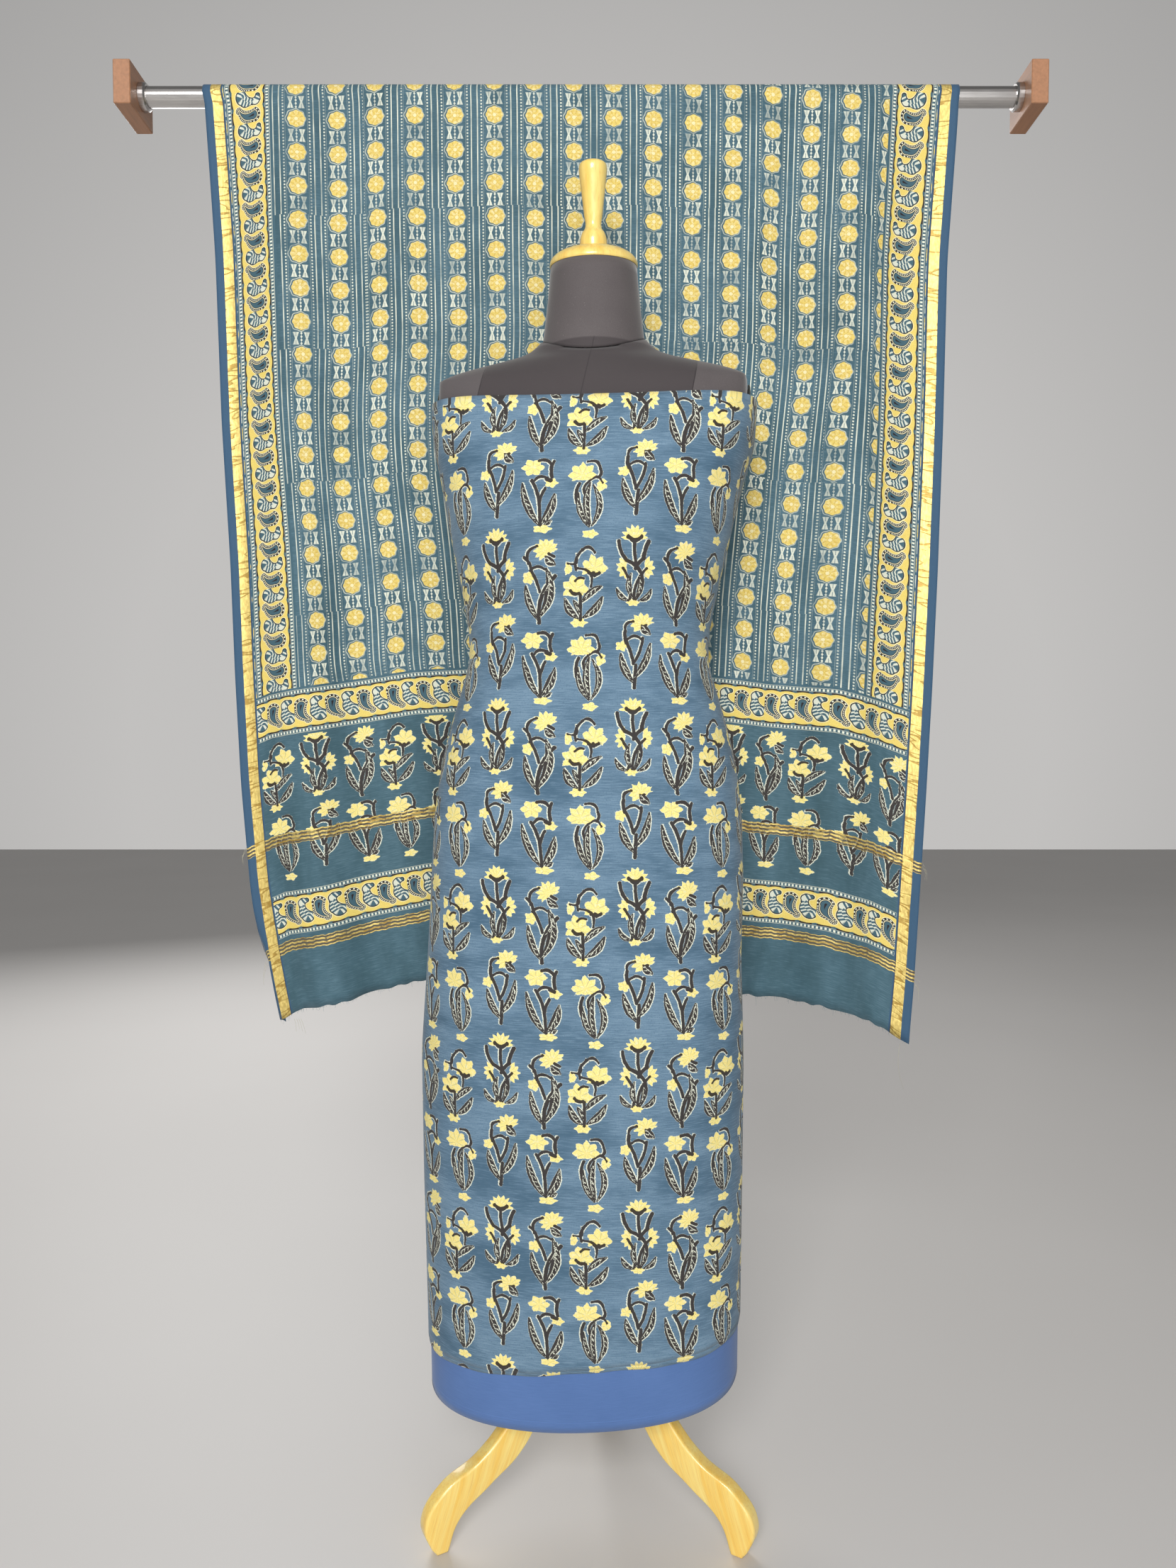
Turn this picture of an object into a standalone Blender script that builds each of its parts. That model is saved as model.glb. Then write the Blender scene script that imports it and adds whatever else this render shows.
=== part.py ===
"""Salwar kameez suit lengths shown on a limbless dress form and a rod.

A printed kameez length is wrapped once round the form over a plain salwar length, and a printed
dupatta hangs over a steel rod behind them. Units are metres, Z is up and the form faces -Y.
"""
import math
from collections import namedtuple

import bpy
import bmesh
import numpy as np
from mathutils import Matrix

# places of the main groups
FORM_X = 0.012
FORM_Y = -0.0489
FORM_TURN = math.radians(-4.5)
ROD_BACK = 0.098
ROD_HEIGHT = 1.804

# cloth
CLOTH_WALL = 0.002
DUPATTA_WALL = 0.0015
LAYER_GAP = 0.001
LAP_GAP = 0.0014
SEAT_GAP = 0.0003
WRAP_COLUMNS = 40
LAP_COLUMNS = 3
RISE_COLUMNS = 3
KAMEEZ_LAP_AT = 0.40
SALWAR_LAP_AT = 0.55
KAMEEZ_HEM = 0.2385
KAMEEZ_HEM_TILT = 0.0165
KAMEEZ_HEM_DIP = 0.0075
KAMEEZ_TOP = 1.3665
KAMEEZ_TOP_DIP = 0.0045
SALWAR_HEM = 0.1735
SALWAR_HEM_TILT = 0.0105
SALWAR_HEM_DIP = 0.0185
SALWAR_TOP = 1.10
ROW_MARGIN = 0.015
SMOOTH_ANGLE = math.radians(35.0)

# a level section of the wrapped cloth: roundness is the exponent of the superellipse, flare is
# how much wider the sides grow towards the back and shift is how far the middle lies from the axis
WrapSection = namedtuple("WrapSection", "height half_width front back roundness flare shift")
WRAP_SECTIONS = [
    WrapSection(0.155, 0.1965, 0.1195, 0.1135, 2.5, 0.00, -0.0080),
    WrapSection(0.300, 0.1985, 0.1205, 0.1145, 2.5, 0.00, -0.0085),
    WrapSection(0.450, 0.2000, 0.1210, 0.1150, 2.5, 0.00, -0.0095),
    WrapSection(0.580, 0.2010, 0.1220, 0.1160, 2.5, 0.00, -0.0100),
    WrapSection(0.700, 0.1955, 0.1215, 0.1165, 2.5, 0.00, -0.0075),
    WrapSection(0.800, 0.1940, 0.1205, 0.1170, 2.5, 0.00, -0.0040),
    WrapSection(0.880, 0.1900, 0.1180, 0.1150, 2.5, 0.00, -0.0030),
    WrapSection(0.940, 0.1815, 0.1145, 0.1080, 2.5, 0.00, -0.0020),
    WrapSection(0.990, 0.1690, 0.1090, 0.0970, 2.4, 0.00, -0.0020),
    WrapSection(1.030, 0.1565, 0.1040, 0.0880, 2.4, 0.00, -0.0020),
    WrapSection(1.065, 0.1465, 0.1010, 0.0830, 2.4, 0.00, -0.0020),
    WrapSection(1.100, 0.1485, 0.1035, 0.0835, 2.4, 0.00, -0.0015),
    WrapSection(1.140, 0.1555, 0.1110, 0.0850, 2.4, 0.00, -0.0010),
    WrapSection(1.180, 0.1645, 0.1205, 0.0880, 2.5, 0.00, 0.0000),
    WrapSection(1.235, 0.1755, 0.1265, 0.0925, 2.6, 0.01, 0.0010),
    WrapSection(1.280, 0.1850, 0.1190, 0.0945, 2.9, 0.04, 0.0025),
    WrapSection(1.325, 0.1970, 0.1075, 0.0930, 3.3, 0.087, 0.0035),
    WrapSection(1.380, 0.2000, 0.0940, 0.0875, 3.4, 0.087, 0.0040),
]

# the section whose equal arcs set the columns of every layer
COLUMN_HALF_WIDTH = 0.190
COLUMN_FRONT = 0.118
COLUMN_BACK = 0.110
COLUMN_ROUNDNESS = 2.5

# dress form
TORSO_BOTTOM = 0.735
TORSO_UNDER_LAYERS = 0.0056
TORSO_UNDER_KAMEEZ = 0.0026
TORSO_BACK_EXTRA = 0.0038
TORSO_BACK_REACH = 0.35
TORSO_BACK_BLEND = 0.12
ARM_PLANE = 0.188
ARM_TILT = math.radians(5.0)
ARM_PLATE_HEIGHT = 1.357
ARM_PLATE_HALF_DEPTH = 0.038
ARM_PLATE_HALF_HEIGHT = 0.040
ARM_PLATE_THICKNESS = 0.003
ARM_PLATE_RIM = 0.0018
ARM_PLATE_FACE = 0.94
ARM_PLATE_STEPS = 24
NECK_TOP = 1.5435
NECK_TILT = math.radians(7.0)
NECK_TOP_RADIUS = 0.053
NECK_SEAT = 0.965
NECK_CURVE = 1.35
NECK_ROWS = (0.0, 0.12, 0.5, 1.0)
SHOULDER_CURVE = 1.5

# a ring of the shoulders: the heights are those of its side, front and back points
ShoulderRing = namedtuple("ShoulderRing", "half_width front back side_z front_z back_z roundness")
SHOULDER_RINGS = [
    ShoulderRing(0.1945, 0.0900, 0.0800, 1.376, 1.374, 1.376, 3.3),
    ShoulderRing(0.1935, 0.0835, 0.0790, 1.399, 1.389, 1.395, 3.2),
    ShoulderRing(0.1830, 0.0795, 0.0785, 1.4065, 1.397, 1.409, 2.8),
    ShoulderRing(0.1600, 0.0745, 0.0775, 1.4150, 1.405, 1.424, 2.5),
    ShoulderRing(0.1285, 0.0700, 0.0750, 1.4235, 1.412, 1.438, 2.3),
    ShoulderRing(0.1000, 0.0655, 0.0720, 1.4315, 1.418, 1.450, 2.1),
    ShoulderRing(0.0785, 0.0610, 0.0680, 1.4400, 1.423, 1.459, 2.0),
    ShoulderRing(0.0650, 0.0575, 0.0640, 1.4545, 1.428, 1.467, 2.0),
]

# turned top of the form
CAP_RADIUS = 0.054
CAP_HEIGHT = 0.0202
CAP_SEAT_RADIUS = 0.0175
CAP_STEPS = 5
CAP_RIM = 0.002
CAP_TUCK = 0.0008
CAP_TURN_STEPS = 30
FINIAL_LENGTH = 0.100
FINIAL_RADIUS = 0.0170
FINIAL_WAIST_RADIUS = 0.0098
FINIAL_WAIST_HEIGHT = 0.0270
FINIAL_STEPS = 18
FLARE_STEPS = 5
FLARE_CURVE = 1.15

# turned rows of the finial: the tip's heights run down from its top, the bulb's up from its foot
TurnedPoint = namedtuple("TurnedPoint", "radius height")
FINIAL_TIP = [
    TurnedPoint(0.0000, 0.0000),
    TurnedPoint(0.0080, 0.0002),
    TurnedPoint(0.0135, 0.0012),
    TurnedPoint(0.0162, 0.0034),
    TurnedPoint(FINIAL_RADIUS, 0.0070),
]
FINIAL_BULB = [
    TurnedPoint(0.0104, 0.0245),
    TurnedPoint(0.0138, 0.0195),
    TurnedPoint(0.0161, 0.0125),
    TurnedPoint(0.0167, 0.0055),
    TurnedPoint(0.0164, 0.0000),
    TurnedPoint(0.0000, 0.0000),
]

# stand
DISC_RADIUS = 0.090
DISC_THICKNESS = 0.016
DISC_EDGE = 0.0015
DISC_STEPS = 32
POST_RADIUS = 0.0165
POST_STEPS = 20
HUB_RADIUS = 0.032
HUB_BOTTOM = 0.170
HUB_TOP = 0.315
HUB_EDGE = 0.003
HUB_STEPS = 24
LEG_THICKNESS = 0.020
LEG_ROUNDING = 0.004
LEG_ROOT = HUB_RADIUS + SEAT_GAP
LEG_DIRECTIONS = {"leg_front_left": -151.5, "leg_front_right": -30.0, "leg_back": 90.0}

# outline of a leg in its own upright plane, from the hub down the upper edge, under the foot and
# back up the lower edge: out is the distance from the post's axis, a sharp point is a corner
LegPoint = namedtuple("LegPoint", "out height sharp")
LEG_OUTLINE = [
    LegPoint(LEG_ROOT, 0.3000, True),
    LegPoint(0.0620, 0.2530, False),
    LegPoint(0.0945, 0.1740, False),
    LegPoint(0.1240, 0.1270, False),
    LegPoint(0.1560, 0.0985, False),
    LegPoint(0.2020, 0.0755, False),
    LegPoint(0.2260, 0.0420, False),
    LegPoint(0.2185, 0.0110, False),
    LegPoint(0.2110, 0.0000, True),
    LegPoint(0.1970, 0.0000, True),
    LegPoint(0.1820, 0.0345, False),
    LegPoint(0.1420, 0.0635, False),
    LegPoint(0.1030, 0.0900, False),
    LegPoint(0.0730, 0.1300, False),
    LegPoint(LEG_ROOT, 0.1930, True),
]

# rod and its brackets
ROD_RADIUS = 0.0125
ROD_SPAN = 1.146
ROD_STEPS = 24
FLANGE_RADIUS = 0.017
FLANGE_LENGTH = 0.009
FLANGE_EDGE = 0.002
BRACKET_WIDTH = 0.022
BRACKET_DEPTH = 0.073
BRACKET_HEIGHT = 0.055
BRACKET_EDGE = 0.001

# dupatta
DUPATTA_WIDTH = 0.979
DUPATTA_LENGTH = 2.36
DUPATTA_COLUMNS = 44
DUPATTA_FRONT_ROWS = 8
DUPATTA_ROD_ROWS = 6
DUPATTA_BACK_ROWS = 7
DUPATTA_TURN_RADIUS = 0.0141
LEAN_MIDDLE = -0.036
LEAN_HALF_WIDTH = 0.33
FOLD_CALM = 0.85
FOLD_MOST = 0.03
FOLD_HALVINGS = 24
FINE_COLUMNS = 4

# soft folds of the falls: their share, how many fit across the cloth and where they start
Fold = namedtuple("Fold", "share count phase")
FOLDS = [Fold(0.72, 6.5, 0.6), Fold(0.40, 3.9, 2.1)]

# where the two selvedges of the front fall hang, from the rod's middle
FallEdge = namedtuple("FallEdge", "height left right")
FALL_EDGES = [
    FallEdge(0.560, -0.3970, 0.4274),
    FallEdge(0.600, -0.4090, 0.4364),
    FallEdge(0.700, -0.4275, 0.4445),
    FallEdge(0.800, -0.4430, 0.4500),
    FallEdge(0.940, -0.4540, 0.4575),
    FallEdge(1.080, -0.4600, 0.4640),
    FallEdge(1.220, -0.4640, 0.4690),
    FallEdge(1.400, -0.4730, 0.4735),
    FallEdge(1.600, -0.4780, 0.4760),
    FallEdge(1.770, -0.4865, 0.4870),
    FallEdge(1.830, -0.4893, 0.4893),
]

# height of the front fall's hem across the cloth, from the left selvedge at 0 to the right at 1
HemPoint = namedtuple("HemPoint", "across height")
DUPATTA_HEM = [
    HemPoint(0.00, 0.585),
    HemPoint(0.05, 0.607),
    HemPoint(0.12, 0.619),
    HemPoint(0.26, 0.646),
    HemPoint(0.42, 0.658),
    HemPoint(0.60, 0.646),
    HemPoint(0.76, 0.6225),
    HemPoint(0.86, 0.614),
    HemPoint(0.93, 0.593),
    HemPoint(1.00, 0.560),
]

# how far the form's back pushes the falls away from the plumb line, by height
LeanPoint = namedtuple("LeanPoint", "height front_fall back_fall")
DUPATTA_LEAN = [
    LeanPoint(0.50, 0.0435, 0.0205),
    LeanPoint(0.88, 0.0420, 0.0190),
    LeanPoint(1.32, 0.0195, 0.0000),
    LeanPoint(1.80, 0.0000, 0.0000),
]

# plain colours of the finishes
COLOURS = {
    "printed_blue": (0.065, 0.145, 0.260),
    "plain_blue": (0.040, 0.095, 0.300),
    "printed_teal": (0.045, 0.115, 0.170),
    "form_cover": (0.070, 0.058, 0.064),
    "black_plate": (0.010, 0.010, 0.011),
    "varnished_wood": (0.900, 0.500, 0.110),
    "satin_steel": (0.620, 0.600, 0.580),
    "bracket_wood": (0.290, 0.125, 0.070),
}


def start_collection():
    """Clear the scene, then give the collection for the parts."""
    for item in list(bpy.data.objects):
        bpy.data.objects.remove(item, do_unlink=True)
    parts = bpy.data.collections.new("salwar_kameez_suit")
    bpy.context.scene.collection.children.link(parts)
    return parts


def finish_material(name, roughness, metallic=0.0):
    """A plain Principled finish in one of the named colours."""
    material = bpy.data.materials.new(name)
    material.use_nodes = True
    shader = material.node_tree.nodes["Principled BSDF"]
    shader.inputs["Base Color"].default_value = (*COLOURS[name], 1.0)
    shader.inputs["Roughness"].default_value = roughness
    shader.inputs["Metallic"].default_value = metallic
    return material


def add_object(name, data, material, parts):
    """Link new mesh or curve data as a named part."""
    item = bpy.data.objects.new(name, data)
    data.materials.append(material)
    parts.objects.link(item)
    return item


def mesh_from(name, points, faces):
    """A mesh from an array of points and a list of faces, shaded smooth up to 35 degrees."""
    mesh = bpy.data.meshes.new(name)
    mesh.from_pydata([tuple(point) for point in points], [], faces)
    mesh.shade_smooth()
    mesh.set_sharp_from_angle(angle=SMOOTH_ANGLE)
    return mesh


def grid_faces(rows, columns, closed):
    """Quads between neighbouring rows of a grid whose points run along each row in turn."""
    last = columns if closed else columns - 1
    faces = []
    for row in range(rows - 1):
        for column in range(last):
            here = row * columns + column
            right = row * columns + (column + 1) % columns
            faces.append((here, right, right + columns, here + columns))
    return faces


def smooth_step(value):
    """0 below 0, 1 above 1 and an even S between."""
    value = np.clip(value, 0.0, 1.0)
    return value * value * (3.0 - 2.0 * value)


def table_column(table, key, column, at):
    """A column of a table read at any value of its key, straight between the rows."""
    keys = [getattr(row, key) for row in table]
    values = [getattr(row, column) for row in table]
    return np.interp(at, keys, values)


def superellipse(angle, half_width, front, back, roundness):
    """Points of a section with unlike halves; angle 0 is the front, a quarter turn is +X."""
    across = np.sin(angle)
    ahead = np.cos(angle)
    power = 2.0 / roundness
    depth = np.where(ahead > 0.0, front, back)
    x = half_width * np.sign(across) * np.abs(across) ** power
    y = -depth * np.sign(ahead) * np.abs(ahead) ** power
    return x, y


def even_angles(fraction):
    """Angles that divide a mid-size section into equal arcs, by fraction of a turn."""
    dense = np.linspace(0.0, 2.0 * math.pi, 721)
    x, y = superellipse(dense, COLUMN_HALF_WIDTH, COLUMN_FRONT, COLUMN_BACK, COLUMN_ROUNDNESS)
    arc = np.concatenate(([0.0], np.cumsum(np.hypot(np.diff(x), np.diff(y)))))
    turns = np.floor(fraction)
    return np.interp(fraction - turns, arc / arc[-1], dense) + turns * 2.0 * math.pi


def wrap_points(fraction, height, outward):
    """Points of the wrapped section at each height, moved outward by a distance.

    Straight between the table's rows, so that layers at like heights stay parallel.
    """
    section = {name: table_column(WRAP_SECTIONS, "height", name, height)
               for name in WrapSection._fields[1:]}
    angle = even_angles(fraction)
    x, y = superellipse(angle, section["half_width"] + outward, section["front"] + outward,
                        section["back"] + outward, section["roundness"])
    side = np.sign(x) * np.minimum(np.abs(x) / section["half_width"], 1.0) ** 2
    x = x + side * section["flare"] * y + section["shift"]
    return np.stack([x, y, np.broadcast_to(height, x.shape)], axis=-1)


def place_on_form(points):
    """Turn points about the form's axis and carry them to its place."""
    points = np.asarray(points, dtype=float)
    cosine = math.cos(FORM_TURN)
    sine = math.sin(FORM_TURN)
    x = points[..., 0] * cosine - points[..., 1] * sine + FORM_X
    y = points[..., 0] * sine + points[..., 1] * cosine + FORM_Y
    return np.stack([x, y, points[..., 2]], axis=-1)


def lap_fractions(lap_at):
    """Fractions of a turn for the columns of a wrapped cloth whose ends lap at lap_at."""
    start = lap_at - 0.5 * LAP_COLUMNS / WRAP_COLUMNS
    return start + np.arange(WRAP_COLUMNS + LAP_COLUMNS + 1) / WRAP_COLUMNS


def lap_sink(columns):
    """How far the inner end of a wrapped cloth lies under its outer end, by column."""
    past_lap = (columns - LAP_COLUMNS) / RISE_COLUMNS
    return (CLOTH_WALL + LAP_GAP) * (1.0 - smooth_step(past_lap))


def lap_hollow(fraction, lap_at):
    """How far a layer beneath gives way to the inner end of the cloth that laps above it."""
    columns = (fraction - lap_at) * WRAP_COLUMNS
    columns = (columns + 0.5 * WRAP_COLUMNS) % WRAP_COLUMNS - 0.5 * WRAP_COLUMNS
    edge = 0.5 * LAP_COLUMNS
    rise = smooth_step((columns + edge + RISE_COLUMNS) / RISE_COLUMNS)
    fall = smooth_step((columns - edge) / RISE_COLUMNS)
    return (CLOTH_WALL + LAP_GAP) * (rise - fall)


def heights_between(low, high):
    """The table's heights that lie well inside a stretch of the wrap."""
    low = low + ROW_MARGIN
    high = high - ROW_MARGIN
    return [row.height for row in WRAP_SECTIONS if low < row.height < high]


def wrapped_cloth(name, material, parts, fraction, hem, top, outward):
    """A sheet wrapped round the form: an open loft of the sections with a cloth's wall."""
    inner = heights_between(np.max(hem), np.min(top))
    rows = [hem] + [np.full_like(fraction, height) for height in inner] + [top]
    points = np.stack([wrap_points(fraction, height, outward) for height in rows])
    points = place_on_form(points)
    faces = grid_faces(len(rows), len(fraction), closed=False)
    cloth = add_object(name, mesh_from(name, points.reshape(-1, 3), faces), material, parts)
    wall = cloth.modifiers.new("wall", "SOLIDIFY")
    wall.thickness = CLOTH_WALL
    wall.offset = -1.0
    wall.use_even_offset = True
    return cloth


def make_kameez(material, parts):
    """The printed length: its hem is lower on the left, its top edge is a little lower in front."""
    fraction = lap_fractions(KAMEEZ_LAP_AT)
    turn = 2.0 * math.pi * fraction
    hem = KAMEEZ_HEM + KAMEEZ_HEM_TILT * np.sin(turn) - KAMEEZ_HEM_DIP * np.cos(turn)
    top = KAMEEZ_TOP - KAMEEZ_TOP_DIP * np.cos(2.0 * turn)
    sink = lap_sink(np.arange(len(fraction)))
    return wrapped_cloth("kameez_cloth", material, parts, fraction, hem, top, -sink)


def make_salwar(material, parts):
    """The plain length under the kameez: it gives way where the kameez laps.

    Its hem rides up at the back, over the leg that points that way.
    """
    fraction = lap_fractions(SALWAR_LAP_AT)
    turn = 2.0 * math.pi * fraction
    hem = SALWAR_HEM + SALWAR_HEM_TILT * np.sin(turn) - SALWAR_HEM_DIP * np.cos(turn)
    top = np.full_like(fraction, SALWAR_TOP)
    sink = lap_sink(np.arange(len(fraction))) + lap_hollow(fraction, KAMEEZ_LAP_AT)
    outward = -(CLOTH_WALL + LAYER_GAP) - sink
    return wrapped_cloth("salwar_cloth", material, parts, fraction, hem, top, outward)


def closed_loft(name, rings, bottom_centre, top_centre):
    """A solid from closed rings of like count, with a fan to a centre point at each end."""
    count = len(rings[0])
    points = np.concatenate([np.concatenate(rings), [bottom_centre], [top_centre]])
    faces = grid_faces(len(rings), count, closed=True)
    bottom = len(points) - 2
    top = len(points) - 1
    first_of_last = (len(rings) - 1) * count
    for column in range(count):
        after = (column + 1) % count
        faces.append((bottom, after, column))
        faces.append((top, first_of_last + column, first_of_last + after))
    return mesh_from(name, points, faces)


def neck_shift():
    """How far the shoulders, the armhole planes and the neck stand from the form's axis."""
    return WRAP_SECTIONS[-1].shift


def clamp_to_arm_planes(points):
    """Flatten the sides of a ring on the two slightly tilted armhole planes."""
    limit = ARM_PLANE + points[..., 1] * math.tan(ARM_TILT)
    points[..., 0] = np.clip(points[..., 0], neck_shift() - limit, neck_shift() + limit)
    return points


def shoulder_ring(ring, fraction):
    """One ring of the shoulders, whose height runs from its side to its front or back."""
    angle = even_angles(fraction)
    x, y = superellipse(angle, ring.half_width, ring.front, ring.back, ring.roundness)
    middle = np.where(np.cos(angle) > 0.0, ring.front_z, ring.back_z)
    z = ring.side_z + (middle - ring.side_z) * np.abs(np.cos(angle)) ** SHOULDER_CURVE
    return clamp_to_arm_planes(np.stack([x + neck_shift(), y, z], axis=-1))


def neck_base(fraction):
    """The torso's last ring, which the neck stands on."""
    return shoulder_ring(SHOULDER_RINGS[-1], fraction)


def make_torso(material, parts):
    """The covered body of the form, from its flat bottom to the neck seam."""
    fraction = lap_fractions(KAMEEZ_LAP_AT)[:WRAP_COLUMNS]
    from_back = np.abs(np.mod(fraction, 1.0) - 0.5)
    backness = smooth_step((TORSO_BACK_REACH - from_back) / TORSO_BACK_BLEND)
    rings = []
    covered = [row.height for row in WRAP_SECTIONS[:-1]]
    heights = [TORSO_BOTTOM] + [height for height in covered if height > TORSO_BOTTOM]
    for height in heights:
        clearance = TORSO_UNDER_LAYERS if height <= SALWAR_TOP else TORSO_UNDER_KAMEEZ
        outward = -(clearance + TORSO_BACK_EXTRA * backness)
        rings.append(clamp_to_arm_planes(wrap_points(fraction, height, outward)))
    for row in SHOULDER_RINGS:
        rings.append(shoulder_ring(row, fraction))
    shift = table_column(WRAP_SECTIONS, "height", "shift", TORSO_BOTTOM)
    bottom = np.array([shift, 0.0, TORSO_BOTTOM])
    top = rings[-1].mean(axis=0)
    rings = [place_on_form(ring) for ring in rings]
    mesh = closed_loft("form_torso", rings, place_on_form(bottom), place_on_form(top))
    return add_object("form_torso", mesh, material, parts)


def make_neck(material, parts):
    """A tapering neck that seats on the torso's last ring and ends in a circle that leans forward."""
    fraction = lap_fractions(KAMEEZ_LAP_AT)[:WRAP_COLUMNS]
    seat = neck_base(fraction)
    centre = seat.mean(axis=0)
    lift = np.array([0.0, 0.0, SEAT_GAP])
    bottom_ring = centre + (seat - centre) * NECK_SEAT + lift
    angle = even_angles(fraction)
    forward = NECK_TOP_RADIUS * np.cos(angle)
    top_ring = np.stack([neck_shift() + NECK_TOP_RADIUS * np.sin(angle),
                         -forward * math.cos(NECK_TILT),
                         NECK_TOP - forward * math.sin(NECK_TILT)], axis=-1)
    rings = []
    for blend in NECK_ROWS:
        ease = 1.0 - (1.0 - blend) ** NECK_CURVE
        ring = bottom_ring * (1.0 - ease) + top_ring * ease
        ring[:, 2] = bottom_ring[:, 2] * (1.0 - blend) + top_ring[:, 2] * blend
        rings.append(place_on_form(ring))
    top = place_on_form(np.array([neck_shift(), 0.0, NECK_TOP]))
    mesh = closed_loft("form_neck", rings, place_on_form(centre + lift), top)
    return add_object("form_neck", mesh, material, parts)


def make_arm_plates(material, parts):
    """Oval plates on the two armhole planes of the torso."""
    angle = 2.0 * math.pi * np.arange(ARM_PLATE_STEPS) / ARM_PLATE_STEPS
    depth = ARM_PLATE_HALF_DEPTH * np.cos(angle)
    z = ARM_PLATE_HEIGHT + ARM_PLATE_HALF_HEIGHT * np.sin(angle)
    for name, side in (("arm_plate_left", -1.0), ("arm_plate_right", 1.0)):
        rings = []
        centres = []
        for out, scale in ((SEAT_GAP, 1.0), (ARM_PLATE_RIM, 1.0),
                           (ARM_PLATE_THICKNESS, ARM_PLATE_FACE)):
            y = depth * scale
            x = side * (ARM_PLANE + out + y * math.tan(ARM_TILT)) + neck_shift()
            height = ARM_PLATE_HEIGHT + (z - ARM_PLATE_HEIGHT) * scale
            rings.append(place_on_form(np.stack([x, y, height], axis=-1)))
            middle = side * (ARM_PLANE + out) + neck_shift()
            centres.append(np.array([middle, 0.0, ARM_PLATE_HEIGHT]))
        if side < 0.0:
            rings = [ring[::-1] for ring in rings]
        mesh = closed_loft(name, rings, place_on_form(centres[0]), place_on_form(centres[-1]))
        add_object(name, mesh, material, parts)


def turned_part(name, profile, steps, material, parts):
    """A turned solid: a profile of (radius, height) rows, given top to bottom, with a Screw."""
    mesh = bpy.data.meshes.new(name)
    points = [(radius, 0.0, height) for radius, height in profile]
    edges = [(index, index + 1) for index in range(len(points) - 1)]
    mesh.from_pydata(points, edges, [])
    turned = add_object(name, mesh, material, parts)
    screw = turned.modifiers.new("turning", "SCREW")
    screw.steps = steps
    screw.render_steps = steps
    screw.use_merge_vertices = True
    screw.merge_threshold = 0.00001
    screw.use_smooth_shade = True
    return turned


def stand_on_neck(item, lift):
    """Place a turned part on the neck's axis, which leans forward, above the neck's top."""
    place = place_on_form(np.array([neck_shift(), 0.0, NECK_TOP]))
    around = Matrix.Rotation(FORM_TURN, 4, "Z")
    lean = Matrix.Rotation(NECK_TILT, 4, "X")
    raised = Matrix.Translation((0.0, 0.0, lift))
    item.matrix_world = Matrix.Translation(place) @ around @ lean @ raised
    return item


def make_cap(material, parts):
    """A shallow turned dome on the neck."""
    rise = CAP_HEIGHT - CAP_RIM
    profile = [(0.0, CAP_HEIGHT), (CAP_SEAT_RADIUS, CAP_HEIGHT)]
    for step in range(1, CAP_STEPS + 1):
        lift = math.cos(0.5 * math.pi * step / CAP_STEPS)
        spread = math.sin(0.5 * math.pi * step / CAP_STEPS)
        radius = CAP_SEAT_RADIUS + (CAP_RADIUS - CAP_SEAT_RADIUS) * spread
        profile.append((radius, CAP_RIM + rise * lift))
    profile += [(CAP_RADIUS - CAP_TUCK, 0.0), (0.0, 0.0)]
    cap = turned_part("neck_cap", profile, CAP_TURN_STEPS, material, parts)
    return stand_on_neck(cap, SEAT_GAP)


def make_finial(material, parts):
    """The handle on the cap: a squat bulb, a waist and a long flare with a soft top."""
    profile = [(point.radius, FINIAL_LENGTH - point.height) for point in FINIAL_TIP]
    top = FINIAL_LENGTH - FINIAL_TIP[-1].height
    narrowing = FINIAL_RADIUS - FINIAL_WAIST_RADIUS
    for step in range(1, FLARE_STEPS + 1):
        down = step / FLARE_STEPS
        radius = FINIAL_RADIUS - narrowing * down ** FLARE_CURVE
        profile.append((radius, top + (FINIAL_WAIST_HEIGHT - top) * down))
    profile += [(point.radius, point.height) for point in FINIAL_BULB]
    finial = turned_part("finial", profile, FINIAL_STEPS, material, parts)
    return stand_on_neck(finial, CAP_HEIGHT + 2.0 * SEAT_GAP)


def upright_cylinder(name, radius, bottom, top, steps, material, parts):
    """A cylinder between two heights."""
    mesh = bpy.data.meshes.new(name)
    work = bmesh.new()
    bmesh.ops.create_cone(work, cap_ends=True, segments=steps, radius1=radius, radius2=radius,
                          depth=top - bottom)
    work.to_mesh(mesh)
    work.free()
    mesh.shade_smooth()
    mesh.set_sharp_from_angle(angle=SMOOTH_ANGLE)
    cylinder = add_object(name, mesh, material, parts)
    cylinder.location.z = 0.5 * (bottom + top)
    return cylinder


def rounded_edges(item, width):
    """Bevel the sharp edges of a part."""
    bevel = item.modifiers.new("edge", "BEVEL")
    bevel.width = width
    bevel.segments = 1
    bevel.limit_method = "ANGLE"
    bevel.angle_limit = math.radians(40.0)


def make_stand(wood, parts):
    """The disc under the torso, the post and the turned hub that carries the legs."""
    disc_top = TORSO_BOTTOM - SEAT_GAP
    disc_bottom = disc_top - DISC_THICKNESS
    disc = upright_cylinder("base_disc", DISC_RADIUS, disc_bottom, disc_top, DISC_STEPS, wood, parts)
    rounded_edges(disc, DISC_EDGE)
    post = upright_cylinder("post", POST_RADIUS, HUB_TOP + SEAT_GAP, disc_bottom - SEAT_GAP,
                            POST_STEPS, wood, parts)
    hub = upright_cylinder("hub", HUB_RADIUS, HUB_BOTTOM, HUB_TOP, HUB_STEPS, wood, parts)
    rounded_edges(hub, HUB_EDGE)
    for item in (disc, post, hub):
        item.location.x = FORM_X
        item.location.y = FORM_Y


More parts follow.
